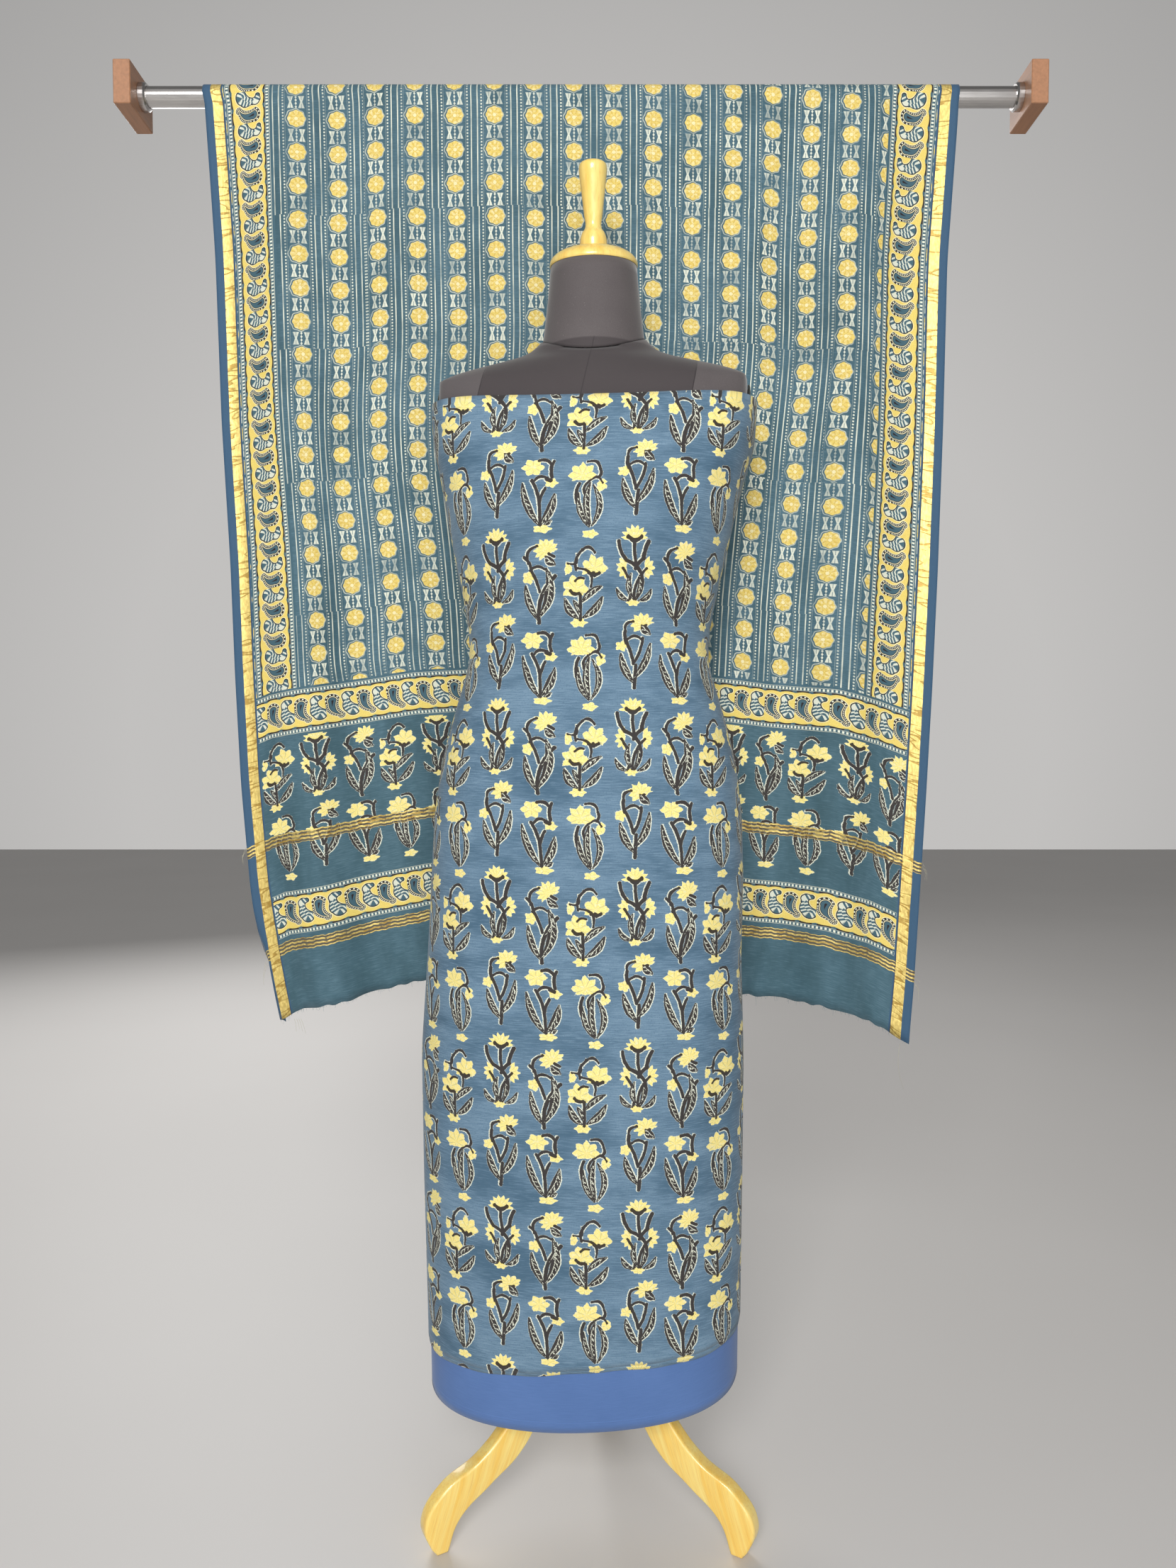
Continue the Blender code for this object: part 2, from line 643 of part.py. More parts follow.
def make_leg(name, direction, wood, parts):
    """A curved board that stands upright and points away from the post."""
    curve = bpy.data.curves.new(name, "CURVE")
    curve.dimensions = "2D"
    curve.fill_mode = "BOTH"
    curve.resolution_u = 2
    curve.render_resolution_u = 2
    curve.extrude = 0.5 * LEG_THICKNESS - LEG_ROUNDING
    curve.bevel_depth = LEG_ROUNDING
    curve.bevel_resolution = 1
    curve.offset = -LEG_ROUNDING
    spline = curve.splines.new("BEZIER")
    spline.bezier_points.add(len(LEG_OUTLINE) - 1)
    for knot, point in zip(spline.bezier_points, LEG_OUTLINE):
        knot.co = (point.out, point.height, 0.0)
        handle = "VECTOR" if point.sharp else "AUTO"
        knot.handle_left_type = handle
        knot.handle_right_type = handle
    spline.use_cyclic_u = True
    leg = add_object(name, curve, wood, parts)
    upright = Matrix.Rotation(math.radians(90.0), 4, "X")
    around = Matrix.Rotation(math.radians(direction), 4, "Z")
    leg.matrix_world = Matrix.Translation((FORM_X, FORM_Y, 0.0)) @ around @ upright
    return leg


def make_rod(steel, wood, parts):
    """The rod between two brackets, with a flange against each."""
    y = FORM_Y + ROD_BACK
    lying = Matrix.Rotation(math.radians(90.0), 4, "Y")
    length = ROD_SPAN - 2.0 * SEAT_GAP
    rod = upright_cylinder("rod", ROD_RADIUS, 0.0, length, ROD_STEPS, steel, parts)
    rod.matrix_world = Matrix.Translation((0.0, y, ROD_HEIGHT)) @ lying
    bore = ROD_RADIUS + SEAT_GAP
    half_span = 0.5 * ROD_SPAN
    for side, word in ((-1.0, "left"), (1.0, "right")):
        inner = half_span - SEAT_GAP - FLANGE_LENGTH
        outer = half_span - SEAT_GAP
        profile = [(bore, outer), (FLANGE_RADIUS, outer), (FLANGE_RADIUS, inner + FLANGE_EDGE),
                   (FLANGE_RADIUS - FLANGE_EDGE, inner), (bore, inner), (bore, outer)]
        flange = turned_part(f"flange_{word}", profile, ROD_STEPS, steel, parts)
        tip = Matrix.Rotation(side * math.radians(90.0), 4, "Y")
        flange.matrix_world = Matrix.Translation((0.0, y, ROD_HEIGHT)) @ tip
        mesh = bpy.data.meshes.new(f"bracket_{word}")
        work = bmesh.new()
        bmesh.ops.create_cube(work, size=1.0)
        size = Matrix.Diagonal((BRACKET_WIDTH, BRACKET_DEPTH, BRACKET_HEIGHT, 1.0))
        bmesh.ops.transform(work, matrix=size, verts=work.verts)
        work.to_mesh(mesh)
        work.free()
        bracket = add_object(f"bracket_{word}", mesh, wood, parts)
        bracket.location = (side * (half_span + 0.5 * BRACKET_WIDTH), y, ROD_HEIGHT)
        rounded_edges(bracket, BRACKET_EDGE)


def lean_bell(x):
    """1 where the form's turned back presses most, falling evenly to 0 at the half width."""
    reach = np.clip(np.abs(x - LEAN_MIDDLE) / LEAN_HALF_WIDTH, 0.0, 1.0)
    return 0.5 + 0.5 * np.cos(math.pi * reach)


def fold_form(across):
    """Soft folds across the cloth, as a sum of waves of unlike length."""
    return sum(fold.share * np.sin(2.0 * math.pi * fold.count * across + fold.phase)
               for fold in FOLDS)


def fall_row(across, left, right, lean):
    """One level row of a fall: x and y of its columns.

    The depth is the lean's bell plus folds. The folds are as deep as the row needs to take up
    the cloth's whole width between the two selvedges, found by halving an interval.
    """
    straight = left + across * (right - left)
    bell = lean_bell(straight)
    folds = fold_form(across) * (1.0 - FOLD_CALM * bell)
    step = DUPATTA_WIDTH * np.diff(across)
    low = 0.0
    high = FOLD_MOST
    for _ in range(FOLD_HALVINGS):
        deep = 0.5 * (low + high)
        y = lean * bell + deep * folds
        run = np.sqrt(np.maximum(step ** 2 - np.diff(y) ** 2, 0.0))
        if run.sum() > right - left:
            low = deep
        else:
            high = deep
    run *= (right - left) / run.sum()
    x = left + np.concatenate(([0.0], np.cumsum(run)))
    return x, y


def fall_rows(hem, row_count, lean_column, side):
    """Rows of a fall from its hem up to the rod, each straight between hem and rod heights.

    A row's columns hang at unlike heights, so its selvedges and lean are read at its mean height.
    """
    dense = np.linspace(0.0, 1.0, DUPATTA_COLUMNS * FINE_COLUMNS + 1)
    rows = []
    for row in range(row_count):
        part = row / row_count
        z = hem * (1.0 - part) + ROD_HEIGHT * part
        mean = float(z.mean())
        left = table_column(FALL_EDGES, "height", "left", mean)
        right = table_column(FALL_EDGES, "height", "right", mean)
        lean = table_column(DUPATTA_LEAN, "height", lean_column, mean)
        x, y = fall_row(dense, left, right, lean)
        y = FORM_Y + ROD_BACK + side * DUPATTA_TURN_RADIUS + y
        kept = slice(None, None, FINE_COLUMNS)
        rows.append(np.stack([x[kept], y[kept], z], axis=-1))
    return rows


def make_dupatta(material, parts):
    """The printed length over the rod: a front fall, the turn over the rod and a back fall."""
    across = np.linspace(0.0, 1.0, DUPATTA_COLUMNS + 1)
    front_hem = table_column(DUPATTA_HEM, "across", "height", across)
    turn_length = math.pi * DUPATTA_TURN_RADIUS
    back_drop = DUPATTA_LENGTH - turn_length - (ROD_HEIGHT - front_hem)
    back_hem = ROD_HEIGHT - back_drop
    rows = fall_rows(front_hem, DUPATTA_FRONT_ROWS, "front_fall", -1.0)
    x = FALL_EDGES[-1].left + across * (FALL_EDGES[-1].right - FALL_EDGES[-1].left)
    for step in range(DUPATTA_ROD_ROWS + 1):
        turn = math.pi * step / DUPATTA_ROD_ROWS
        y = FORM_Y + ROD_BACK - DUPATTA_TURN_RADIUS * math.cos(turn)
        z = ROD_HEIGHT + DUPATTA_TURN_RADIUS * math.sin(turn)
        rows.append(np.stack([x, np.full_like(x, y), np.full_like(x, z)], axis=-1))
    rows += fall_rows(back_hem, DUPATTA_BACK_ROWS, "back_fall", 1.0)[::-1]
    points = np.concatenate(rows)
    faces = grid_faces(len(rows), DUPATTA_COLUMNS + 1, closed=False)
    cloth = add_object("dupatta", mesh_from("dupatta", points, faces), material, parts)
    wall = cloth.modifiers.new("wall", "SOLIDIFY")
    wall.thickness = DUPATTA_WALL
    wall.offset = 0.0
    wall.use_even_offset = True
    return cloth


def main():
    parts = start_collection()
    wood = finish_material("varnished_wood", 0.28)
    steel = finish_material("satin_steel", 0.25, metallic=1.0)
    cover = finish_material("form_cover", 0.75)
    make_kameez(finish_material("printed_blue", 0.80), parts)
    make_salwar(finish_material("plain_blue", 0.80), parts)
    make_dupatta(finish_material("printed_teal", 0.75), parts)
    make_torso(cover, parts)
    make_neck(cover, parts)
    make_arm_plates(finish_material("black_plate", 0.35), parts)
    make_cap(wood, parts)
    make_finial(wood, parts)
    make_stand(wood, parts)
    for name, direction in LEG_DIRECTIONS.items():
        make_leg(name, direction, wood, parts)
    make_rod(steel, finish_material("bracket_wood", 0.45), parts)
    bpy.context.view_layer.update()


main()
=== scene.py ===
"""Looks of a salwar kameez suit set shown on a limbless dress form and a rod.

Metres, Z up, the form faces -Y. Each cloth is a grid worked out from level sections or from rows
of its falls, with the cloth's own width and length in metres as its UV map, so that the prints
follow the cloth. The printed patterns are drawn by shader maths from short tables in millimetres.
"""
import math
from collections import namedtuple
from functools import partialmethod, reduce

import bmesh
import bpy
import numpy as np
from mathutils import Matrix, Vector


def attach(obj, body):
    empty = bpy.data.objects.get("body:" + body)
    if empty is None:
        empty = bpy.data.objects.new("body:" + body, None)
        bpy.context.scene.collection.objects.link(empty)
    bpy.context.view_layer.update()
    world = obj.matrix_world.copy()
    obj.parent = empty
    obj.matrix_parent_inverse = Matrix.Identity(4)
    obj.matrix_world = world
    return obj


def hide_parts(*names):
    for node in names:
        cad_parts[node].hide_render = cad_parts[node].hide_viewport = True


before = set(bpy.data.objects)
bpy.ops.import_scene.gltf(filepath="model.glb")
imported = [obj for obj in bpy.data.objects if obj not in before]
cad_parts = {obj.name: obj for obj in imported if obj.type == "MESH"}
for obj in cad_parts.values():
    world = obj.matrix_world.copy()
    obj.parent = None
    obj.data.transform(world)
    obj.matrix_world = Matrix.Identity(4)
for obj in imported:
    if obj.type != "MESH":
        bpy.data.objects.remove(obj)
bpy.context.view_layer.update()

# places of the main groups, as in the frame
FORM_X = 0.012
FORM_Y = -0.0489
FORM_TURN = math.radians(-4.5)
ROD_BACK = 0.098
ROD_HEIGHT = 1.804

# view of the photograph: 1659 by 2212 pixels, so the long side sets the lens
CAMERA_PLACE = (0.009, FORM_Y - 1.357, 0.97)
CAMERA_PITCH = math.radians(-2.45)
LONG_SIDE = 36.0
FOCAL_PIXELS = 1534.0
IMAGE_HEIGHT = 2212.0

# wrapped lengths
KAMEEZ_WALL = 0.0007
SALWAR_WALL = 0.0007
KAMEEZ_STEPS = 240
KAMEEZ_ROWS = 170
SALWAR_STEPS = 160
SALWAR_ROWS = 100
CAD_WALL = 0.002
LAYER_GAP = 0.001
LAP_GAP = 0.0014
LAP_COLUMNS = 3
RISE_COLUMNS = 3
WRAP_COLUMNS = 40
KAMEEZ_LAP_AT = 0.40
KAMEEZ_HEM = 0.2385
KAMEEZ_HEM_TILT = 0.0165
KAMEEZ_HEM_DIP = 0.0075
KAMEEZ_TOP = 1.3665
KAMEEZ_TOP_DIP = 0.0045
SALWAR_LAP_AT = 0.55
SALWAR_HEM = 0.1735
SALWAR_HEM_TILT = 0.0105
SALWAR_HEM_DIP = 0.0185
SALWAR_TOP = 1.10
INNER_HEM_ROWS = 10
INNER_HEM_WALL = 0.0006
INNER_HEM_DROP = 0.0055
INNER_HEM_RISE = 0.05

# a level section of the wrapped cloth
WrapSection = namedtuple("WrapSection", "height half_width front back roundness flare shift")
WRAP_SECTIONS = [WrapSection(*row) for row in (
    (0.155, 0.1965, 0.1195, 0.1135, 2.5, 0.00, -0.0080),
    (0.300, 0.1985, 0.1205, 0.1145, 2.5, 0.00, -0.0085),
    (0.450, 0.2000, 0.1210, 0.1150, 2.5, 0.00, -0.0095),
    (0.580, 0.2010, 0.1220, 0.1160, 2.5, 0.00, -0.0100),
    (0.700, 0.1955, 0.1215, 0.1165, 2.5, 0.00, -0.0075),
    (0.800, 0.1940, 0.1205, 0.1170, 2.5, 0.00, -0.0040),
    (0.880, 0.1900, 0.1180, 0.1150, 2.5, 0.00, -0.0030),
    (0.940, 0.1815, 0.1145, 0.1080, 2.5, 0.00, -0.0020),
    (0.990, 0.1690, 0.1090, 0.0970, 2.4, 0.00, -0.0020),
    (1.030, 0.1565, 0.1040, 0.0880, 2.4, 0.00, -0.0020),
    (1.065, 0.1465, 0.1010, 0.0830, 2.4, 0.00, -0.0020),
    (1.100, 0.1485, 0.1035, 0.0835, 2.4, 0.00, -0.0015),
    (1.140, 0.1555, 0.1110, 0.0850, 2.4, 0.00, -0.0010),
    (1.180, 0.1645, 0.1205, 0.0880, 2.5, 0.00, 0.0000),
    (1.235, 0.1755, 0.1265, 0.0925, 2.6, 0.01, 0.0010),
    (1.280, 0.1850, 0.1190, 0.0945, 2.9, 0.04, 0.0025),
    (1.325, 0.1970, 0.1075, 0.0930, 3.3, 0.087, 0.0035),
    (1.380, 0.2000, 0.0940, 0.0875, 3.4, 0.087, 0.0040),
)]
COLUMN_HALF_WIDTH = 0.190
COLUMN_FRONT = 0.118
COLUMN_BACK = 0.110
COLUMN_ROUNDNESS = 2.5

# soft creases of the wrapped length: middle in metres across (from the front's middle) and up,
# half length along the crease, its half breadth, its angle from level, and its height
CREASE_GAIN = 1.6
Crease = namedtuple("Crease", "across up half_length half_breadth angle depth")
CREASES = [Crease(*row) for row in (
    (-0.045, 0.338, 0.085, 0.010, 24.0, -0.0011), (0.052, 0.315, 0.080, 0.009, -21.0, -0.0010),
    (0.010, 0.300, 0.060, 0.007, 8.0, 0.0008), (-0.020, 0.405, 0.090, 0.012, -9.0, 0.0008),
    (-0.060, 1.045, 0.060, 0.008, 6.0, -0.0009), (0.030, 1.085, 0.075, 0.008, -4.0, 0.0009),
    (0.105, 1.060, 0.045, 0.008, 14.0, -0.0010), (-0.100, 1.090, 0.045, 0.008, -12.0, 0.0009),
    (0.060, 1.120, 0.060, 0.007, 5.0, -0.0006), (-0.030, 0.990, 0.070, 0.011, -5.0, 0.0007),
    (0.150, 1.285, 0.050, 0.010, 68.0, 0.0010), (0.120, 0.820, 0.150, 0.016, 84.0, 0.0010),
    (-0.130, 0.700, 0.180, 0.017, 93.0, 0.0010), (0.175, 0.560, 0.180, 0.014, 88.0, -0.0010),
    (-0.190, 0.480, 0.160, 0.014, 91.0, -0.0009), (-0.165, 1.190, 0.060, 0.010, -60.0, -0.0008),
)]

# dupatta
DUPATTA_WIDTH = 0.979
DUPATTA_LENGTH = 2.36
DUPATTA_WALL = 0.0005
DUPATTA_STEPS = 220
DUPATTA_FRONT_ROWS = 88
DUPATTA_TURN_ROWS = 14
DUPATTA_BACK_ROWS = 64
DUPATTA_TURN_RADIUS = 0.0141
SELVEDGE_COLUMN = 2
LEAN_MIDDLE = -0.036
LEAN_HALF_WIDTH = 0.33
FOLD_CALM = 0.85
FOLD_MOST = 0.03
FRONT_FOLD_MOST = 0.0115
FOLD_HALVINGS = 24
PRINT_DROP = 1.225
PRINT_BOW = 0.027
PRINT_SLIP = 0.010
PUCKER = 0.0007
CURL_HEIGHT = 0.15
ROD_CREASE_X = 0.222
ROD_CREASE_HEIGHT = 1.62
Fold = namedtuple("Fold", "share count phase")
FOLDS = [Fold(0.72, 6.5, 0.6), Fold(0.40, 3.9, 2.1)]
FallEdge = namedtuple("FallEdge", "height left right")
FALL_EDGES = [FallEdge(*row) for row in (
    (0.560, -0.3970, 0.4274), (0.600, -0.4090, 0.4364), (0.700, -0.4275, 0.4445),
    (0.800, -0.4430, 0.4500), (0.940, -0.4540, 0.4575), (1.080, -0.4600, 0.4640),
    (1.220, -0.4640, 0.4690), (1.400, -0.4730, 0.4735), (1.600, -0.4780, 0.4760),
    (1.770, -0.4865, 0.4870), (1.830, -0.4893, 0.4893),
)]
HemPoint = namedtuple("HemPoint", "across height")
DUPATTA_HEM = [HemPoint(*row) for row in (
    (0.00, 0.585), (0.05, 0.607), (0.12, 0.619), (0.26, 0.646), (0.42, 0.658), (0.60, 0.646),
    (0.76, 0.6225), (0.86, 0.614), (0.93, 0.593), (1.00, 0.560),
)]
LeanPoint = namedtuple("LeanPoint", "height front_fall back_fall")
DUPATTA_LEAN = [LeanPoint(*row) for row in (
    (0.50, 0.0435, 0.0205), (0.88, 0.0420, 0.0190), (1.32, 0.0195, 0.0000),
    (1.80, 0.0000, 0.0000),
)]

# how the dupatta's print is laid out, in millimetres from its selvedges and its ends
SELVEDGE_BAND = 26.0
GOLD_EDGE = (10.5, 23.4)
SIDE_BORDER = (27.0, 90.0)
END_ZONE = 430.0
END_BORDERS = (398.0, 131.0)
BORDER_HALF_WIDTH = 29.0
SPRIG_ZONE = (164.0, 366.0)
SPRIG_ROW = 98.0
ZARI_BANDS = (231.0, 88.0)
ZARI_HALF_WIDTH = 7.4
ZARI_PITCH = 4.9

# threads at the raw hems and the loose ends of the woven bands
THREAD_SEED = 17
HEM_THREADS = 420
THREAD_RADIUS = 0.00014
TAIL_RADIUS = 0.00022
STRAND_SECTIONS = 7

# turned parts and legs
NECK_SHIFT = 0.0040
NECK_TOP = 1.5435
NECK_TILT = math.radians(7.0)
SEAT_GAP = 0.0003
CAP_HEIGHT = 0.0202
CAP_RADIUS = 0.054
CAP_SEAT_RADIUS = 0.0175
CAP_RIM = 0.002
TORSO_BOTTOM = 0.735
DISC_RADIUS = 0.090
DISC_THICKNESS = 0.016
POST_RADIUS = 0.0165
HUB_RADIUS = 0.032
HUB_BOTTOM = 0.170
HUB_TOP = 0.315
LEG_THICKNESS = 0.020
LEG_ROUNDING = 0.004
LEG_ROOT = HUB_RADIUS + SEAT_GAP
LEG_DIRECTIONS = {"leg_front_left": -151.5, "leg_front_right": -30.0, "leg_back": 90.0}
LegPoint = namedtuple("LegPoint", "out height sharp")
LEG_OUTLINE = [LegPoint(*row) for row in (
    (LEG_ROOT, 0.3000, True), (0.0620, 0.2530, False), (0.0945, 0.1740, False),
    (0.1240, 0.1270, False), (0.1560, 0.0985, False), (0.2020, 0.0755, False),
    (0.2260, 0.0420, False), (0.2185, 0.0110, False), (0.2110, 0.0000, True),
    (0.1970, 0.0000, True), (0.1820, 0.0345, False), (0.1420, 0.0635, False),
    (0.1030, 0.0900, False), (0.0730, 0.1300, False), (LEG_ROOT, 0.1930, True),
)]
# radius and height of the turned handle, from its tip down
FINIAL_PROFILE = [
    (0.0000, 0.1000), (0.0080, 0.0998), (0.0135, 0.0988), (0.0162, 0.0966), (0.0170, 0.0930),
    (0.0160, 0.0798), (0.0145, 0.0666), (0.0129, 0.0534), (0.0113, 0.0402), (0.0098, 0.0270),
    (0.0104, 0.0245), (0.0138, 0.0195), (0.0161, 0.0125), (0.0167, 0.0055), (0.0164, 0.0000),
    (0.0000, 0.0000),
]

# the flower sprigs of the print, in millimetres from a cell's middle and down from its top:
# a line is a stem of even width, a leaf swells between its ends, a bloom is a lobed disc of which
# cut leaves the part that lies ahead, in the direction turn, of a line through or near its middle
CELL_WIDTH = 52.0
CELL_HEIGHT = 97.7
KAMEEZ_PITCH = 53.6
FIRST_ROW = 178.5
BANDS = 4
Stroke = namedtuple("Stroke", "x0 y0 x1 y1 bend half_width")
Bloom = namedtuple("Bloom", "x y radius flat turn cut lobes")
Sprig = namedtuple("Sprig", "lines leaves blooms")


def sprig_of(lines, leaves, blooms):
    """A sprig from the rows of its shapes."""
    return Sprig([Stroke(*row) for row in lines], [Stroke(*row) for row in leaves],
                 [Bloom(*row) for row in blooms])


TWIN_LOTUS = sprig_of(
    lines=[
        (-12, 27, -4, 5, -4, 0.8), (-5, 5, 9, 8, -4, 0.9), (-11, 11, -21, 20, -6, 0.8),
        (-10, 26, 5, 46, -8, 0.9), (-13, 40, -3, 37, -2, 0.6), (-7, 55, -7, 84, 0, 0.9),
        (3, 31, 14, 31, 2, 1.3), (-18, 51, -9, 54, 2, 1.3), (8, 31, 9, 34, 0, 1.0),
    ],
    leaves=[
        (-5, 63, 17, 46, -2, 2.6), (-4, 81, 18, 58, 3, 3.2), (-10, 82, -25, 60, -3, 3.2),
        (-8, 78, -15, 62, 1, 2.0),
    ],
    blooms=[
        (9, 26, 13.5, 1.05, -90, 6, 7), (-13, 49, 14.0, 1.05, -90, 7, 7),
        (-21, 26, 4.0, 1.7, -90, 6, 3), (-9, 87, 9.0, 0.55, -90, 9, 6),
    ])
LONG_LEAVES = sprig_of(
    lines=[
        (0, 3, 14, 12, -5, 0.9), (14, 12, 12, 22, -2, 0.9), (4, 25, 17, 28, -5, 0.8),
        (2, 26, -1, 44, 4, 0.7), (-9, 29, -11, 50, 2, 1.0), (3, 76, -3, 40, 2, 0.6),
    ],
    leaves=[
        (3, 77, -10, 40, -4, 2.2), (4, 74, 3, 28, -4, 2.6), (6, 76, 7, 31, 8, 2.4),
    ],
    blooms=[
        (-6, 19, 14.5, 0.95, -90, 6, 8), (16, 32, 5.5, 1.0, -60, 6, 3),
        (18, 27, 3.2, 1.0, -60, 6, 3), (4, 85, 8.5, 0.55, -90, 9, 5),
    ])
CARNATION = sprig_of(
    lines=[
        (-7, 17, 7, 17, 4, 1.8), (0, 22, 2, 47, 1, 1.0), (-18, 22, -9, 43, 2, 1.2),
        (-9, 43, 8, 57, -2, 1.3), (8, 57, 2, 86, -4, 1.1), (16, 22, 10, 41, 1, 1.4),
        (11, 40, 1, 52, 1, 1.2), (14, 52, 0, 86, 4, 0.8), (-13, 52, -5, 86, -4, 0.8),
    ],
    leaves=[
        (-1, 86, -4, 58, -4, 2.0), (2, 86, 6, 60, 3, 1.9), (-6, 88, -20, 75, -3, 2.0),
        (6, 88, 20, 75, 3, 2.0),
    ],
    blooms=[
        (0, 18, 14.0, 0.9, -90, 2, 14), (-9, 51, 10.5, 1.15, 180, 0, 11),
        (12, 51, 10.5, 1.15, 0, 0, 11), (-1, 90, 7.0, 0.6, -90, 7, 6),
    ])
POPPY = sprig_of(
    lines=[
        (-1, 14, -10, 25, 4, 0.9), (-10, 25, -9, 38, 1, 1.2), (-9, 36, 0, 62, -1, 1.0),
        (-7, 34, 9, 35, -4, 0.8), (10, 33, 1, 60, -2, 0.9), (3, 64, 1, 90, 0, 1.2),
        (10, 20, 14, 18, 0, 0.8),
    ],
    leaves=[
        (9, 18, 19, 28, 1, 3.4), (1, 78, 19, 39, 4, 3.0), (0, 84, -15, 51, -3, 3.2),
    ],
    blooms=[
        (10, 16, 13.5, 0.82, -120, 5, 11), (-14, 42, 6.5, 0.9, -90, 7, 5),
    ])
ROSE = sprig_of(
    lines=[
        (-3, 8, -13, 27, 6, 1.0), (-12, 26, -9, 37, 0, 0.9), (-18, 20, -13, 25, 0, 0.8),
        (-11, 35, 6, 34, -4, 0.8), (-9, 37, 0, 59, -1, 0.9), (18, 42, -1, 94, 7, 1.5),
        (11, 17, 17, 20, 0, 0.9),
    ],
    leaves=[
        (7, 20, 18, 29, 1, 3.2), (-1, 88, 8, 33, 8, 4.2), (3, 62, 12, 38, 4, 2.4),
        (-3, 90, -17, 52, -3, 2.9),
    ],
    blooms=[
        (8, 13, 13.5, 0.92, -120, 5, 12), (-13, 43, 6.8, 1.0, -90, 8, 5),
    ])
DROOP = sprig_of(
    lines=[
        (-2, 7, 12, 12, -3, 1.2), (13, 11, 13, 27, 1, 1.2), (15, 8, 12, 14, 0, 0.9),
        (-8, 32, 8, 28, -4, 1.0), (-10, 30, 0, 60, -2, 1.1), (6, 40, 0, 56, 1, 0.9),
        (7, 29, 12, 31, 0, 1.4), (0, 60, 1, 80, 0, 1.0),
    ],
    leaves=[
        (-1, 80, -21, 33, -4, 3.1), (2, 79, 17, 47, 3, 3.7), (6, 80, 13, 76, 0, 1.8),
    ],
    blooms=[
        (-9, 15, 12.0, 0.78, -90, 12, 6), (13, 34, 7.2, 0.68, -90, 8, 5),
        (3, 85, 10.5, 0.42, -90, 10, 5),
    ])
SPRIGS = [TWIN_LOTUS, LONG_LEAVES, CARNATION, POPPY, ROSE, DROOP]

# printed colours
KAMEEZ_GROUND = (0.112, 0.196, 0.284)
KAMEEZ_DEEP = (0.066, 0.132, 0.200)
KAMEEZ_PALE = (0.205, 0.315, 0.415)
TEAL_GROUND = (0.056, 0.122, 0.158)
TEAL_DEEP = (0.034, 0.080, 0.098)
TEAL_PALE = (0.155, 0.265, 0.330)
RESIST_WHITE = (0.80, 0.82, 0.68)
CREAM = (0.86, 0.80, 0.52)
FLOWER_YELLOW = (0.88, 0.72, 0.20)
FLOWER_PALE = (0.93, 0.84, 0.42)
FLOWER_OCHRE = (0.62, 0.43, 0.09)
PETAL_LINE = (0.40, 0.42, 0.24)
INK = (0.021, 0.015, 0.017)
SELVEDGE_BLUE = (0.045, 0.105, 0.185)
ZARI_GOLD = (0.84, 0.66, 0.22)
ZARI_SHADE = (0.42, 0.27, 0.06)
WEFT_BROWN = (0.115, 0.085, 0.045)
SALWAR_BLUE = (0.098, 0.185, 0.415)
SALWAR_DEEP = (0.070, 0.140, 0.330)


class Value:
    """A socket of a finish; sums with it add Math nodes."""

    def __init__(self, finish, socket):
        self.finish = finish
        self.socket = socket

    def maths(self, operation, *others, clamp=False):
        settings = {"operation": operation, "use_clamp": clamp}
        return self.finish.node("ShaderNodeMath", settings, (self, *others))

    def other(self, name):
        """Another output of the same node."""
        return Value(self.finish, self.socket.node.outputs[name])

    def __rsub__(self, other):
        return self.finish.node("ShaderNodeMath", {"operation": "SUBTRACT"}, (other, self))

    __add__ = __radd__ = partialmethod(maths, "ADD")
    __sub__ = partialmethod(maths, "SUBTRACT")
    __mul__ = __rmul__ = partialmethod(maths, "MULTIPLY")
    __truediv__ = partialmethod(maths, "DIVIDE")
    __mod__ = partialmethod(maths, "FLOORED_MODULO")
    __abs__ = partialmethod(maths, "ABSOLUTE")
    floor = partialmethod(maths, "FLOOR")
    least = partialmethod(maths, "MINIMUM")
    most = partialmethod(maths, "MAXIMUM")

    def wave(self, length, start=0.0):
        """A sine of this value with a wave length."""
        return (self * (2.0 * math.pi / length) + start).maths("SINE")

    def step(self, blur):
        """0 to 1 across zero, over a blur."""
        return self.maths("MULTIPLY_ADD", 1.0 / blur, 0.5, clamp=True)

    def band(self, low, high, blur):
        """1 between two values, with soft edges."""
        return (self - low).least(high - self).step(blur)


def union(values):
    """The greatest of several values."""
    return reduce(Value.most, values)


def distance(a, b):
    """The length of a step of a and b at right angles."""
    return (a * a + b * b).maths("SQRT")


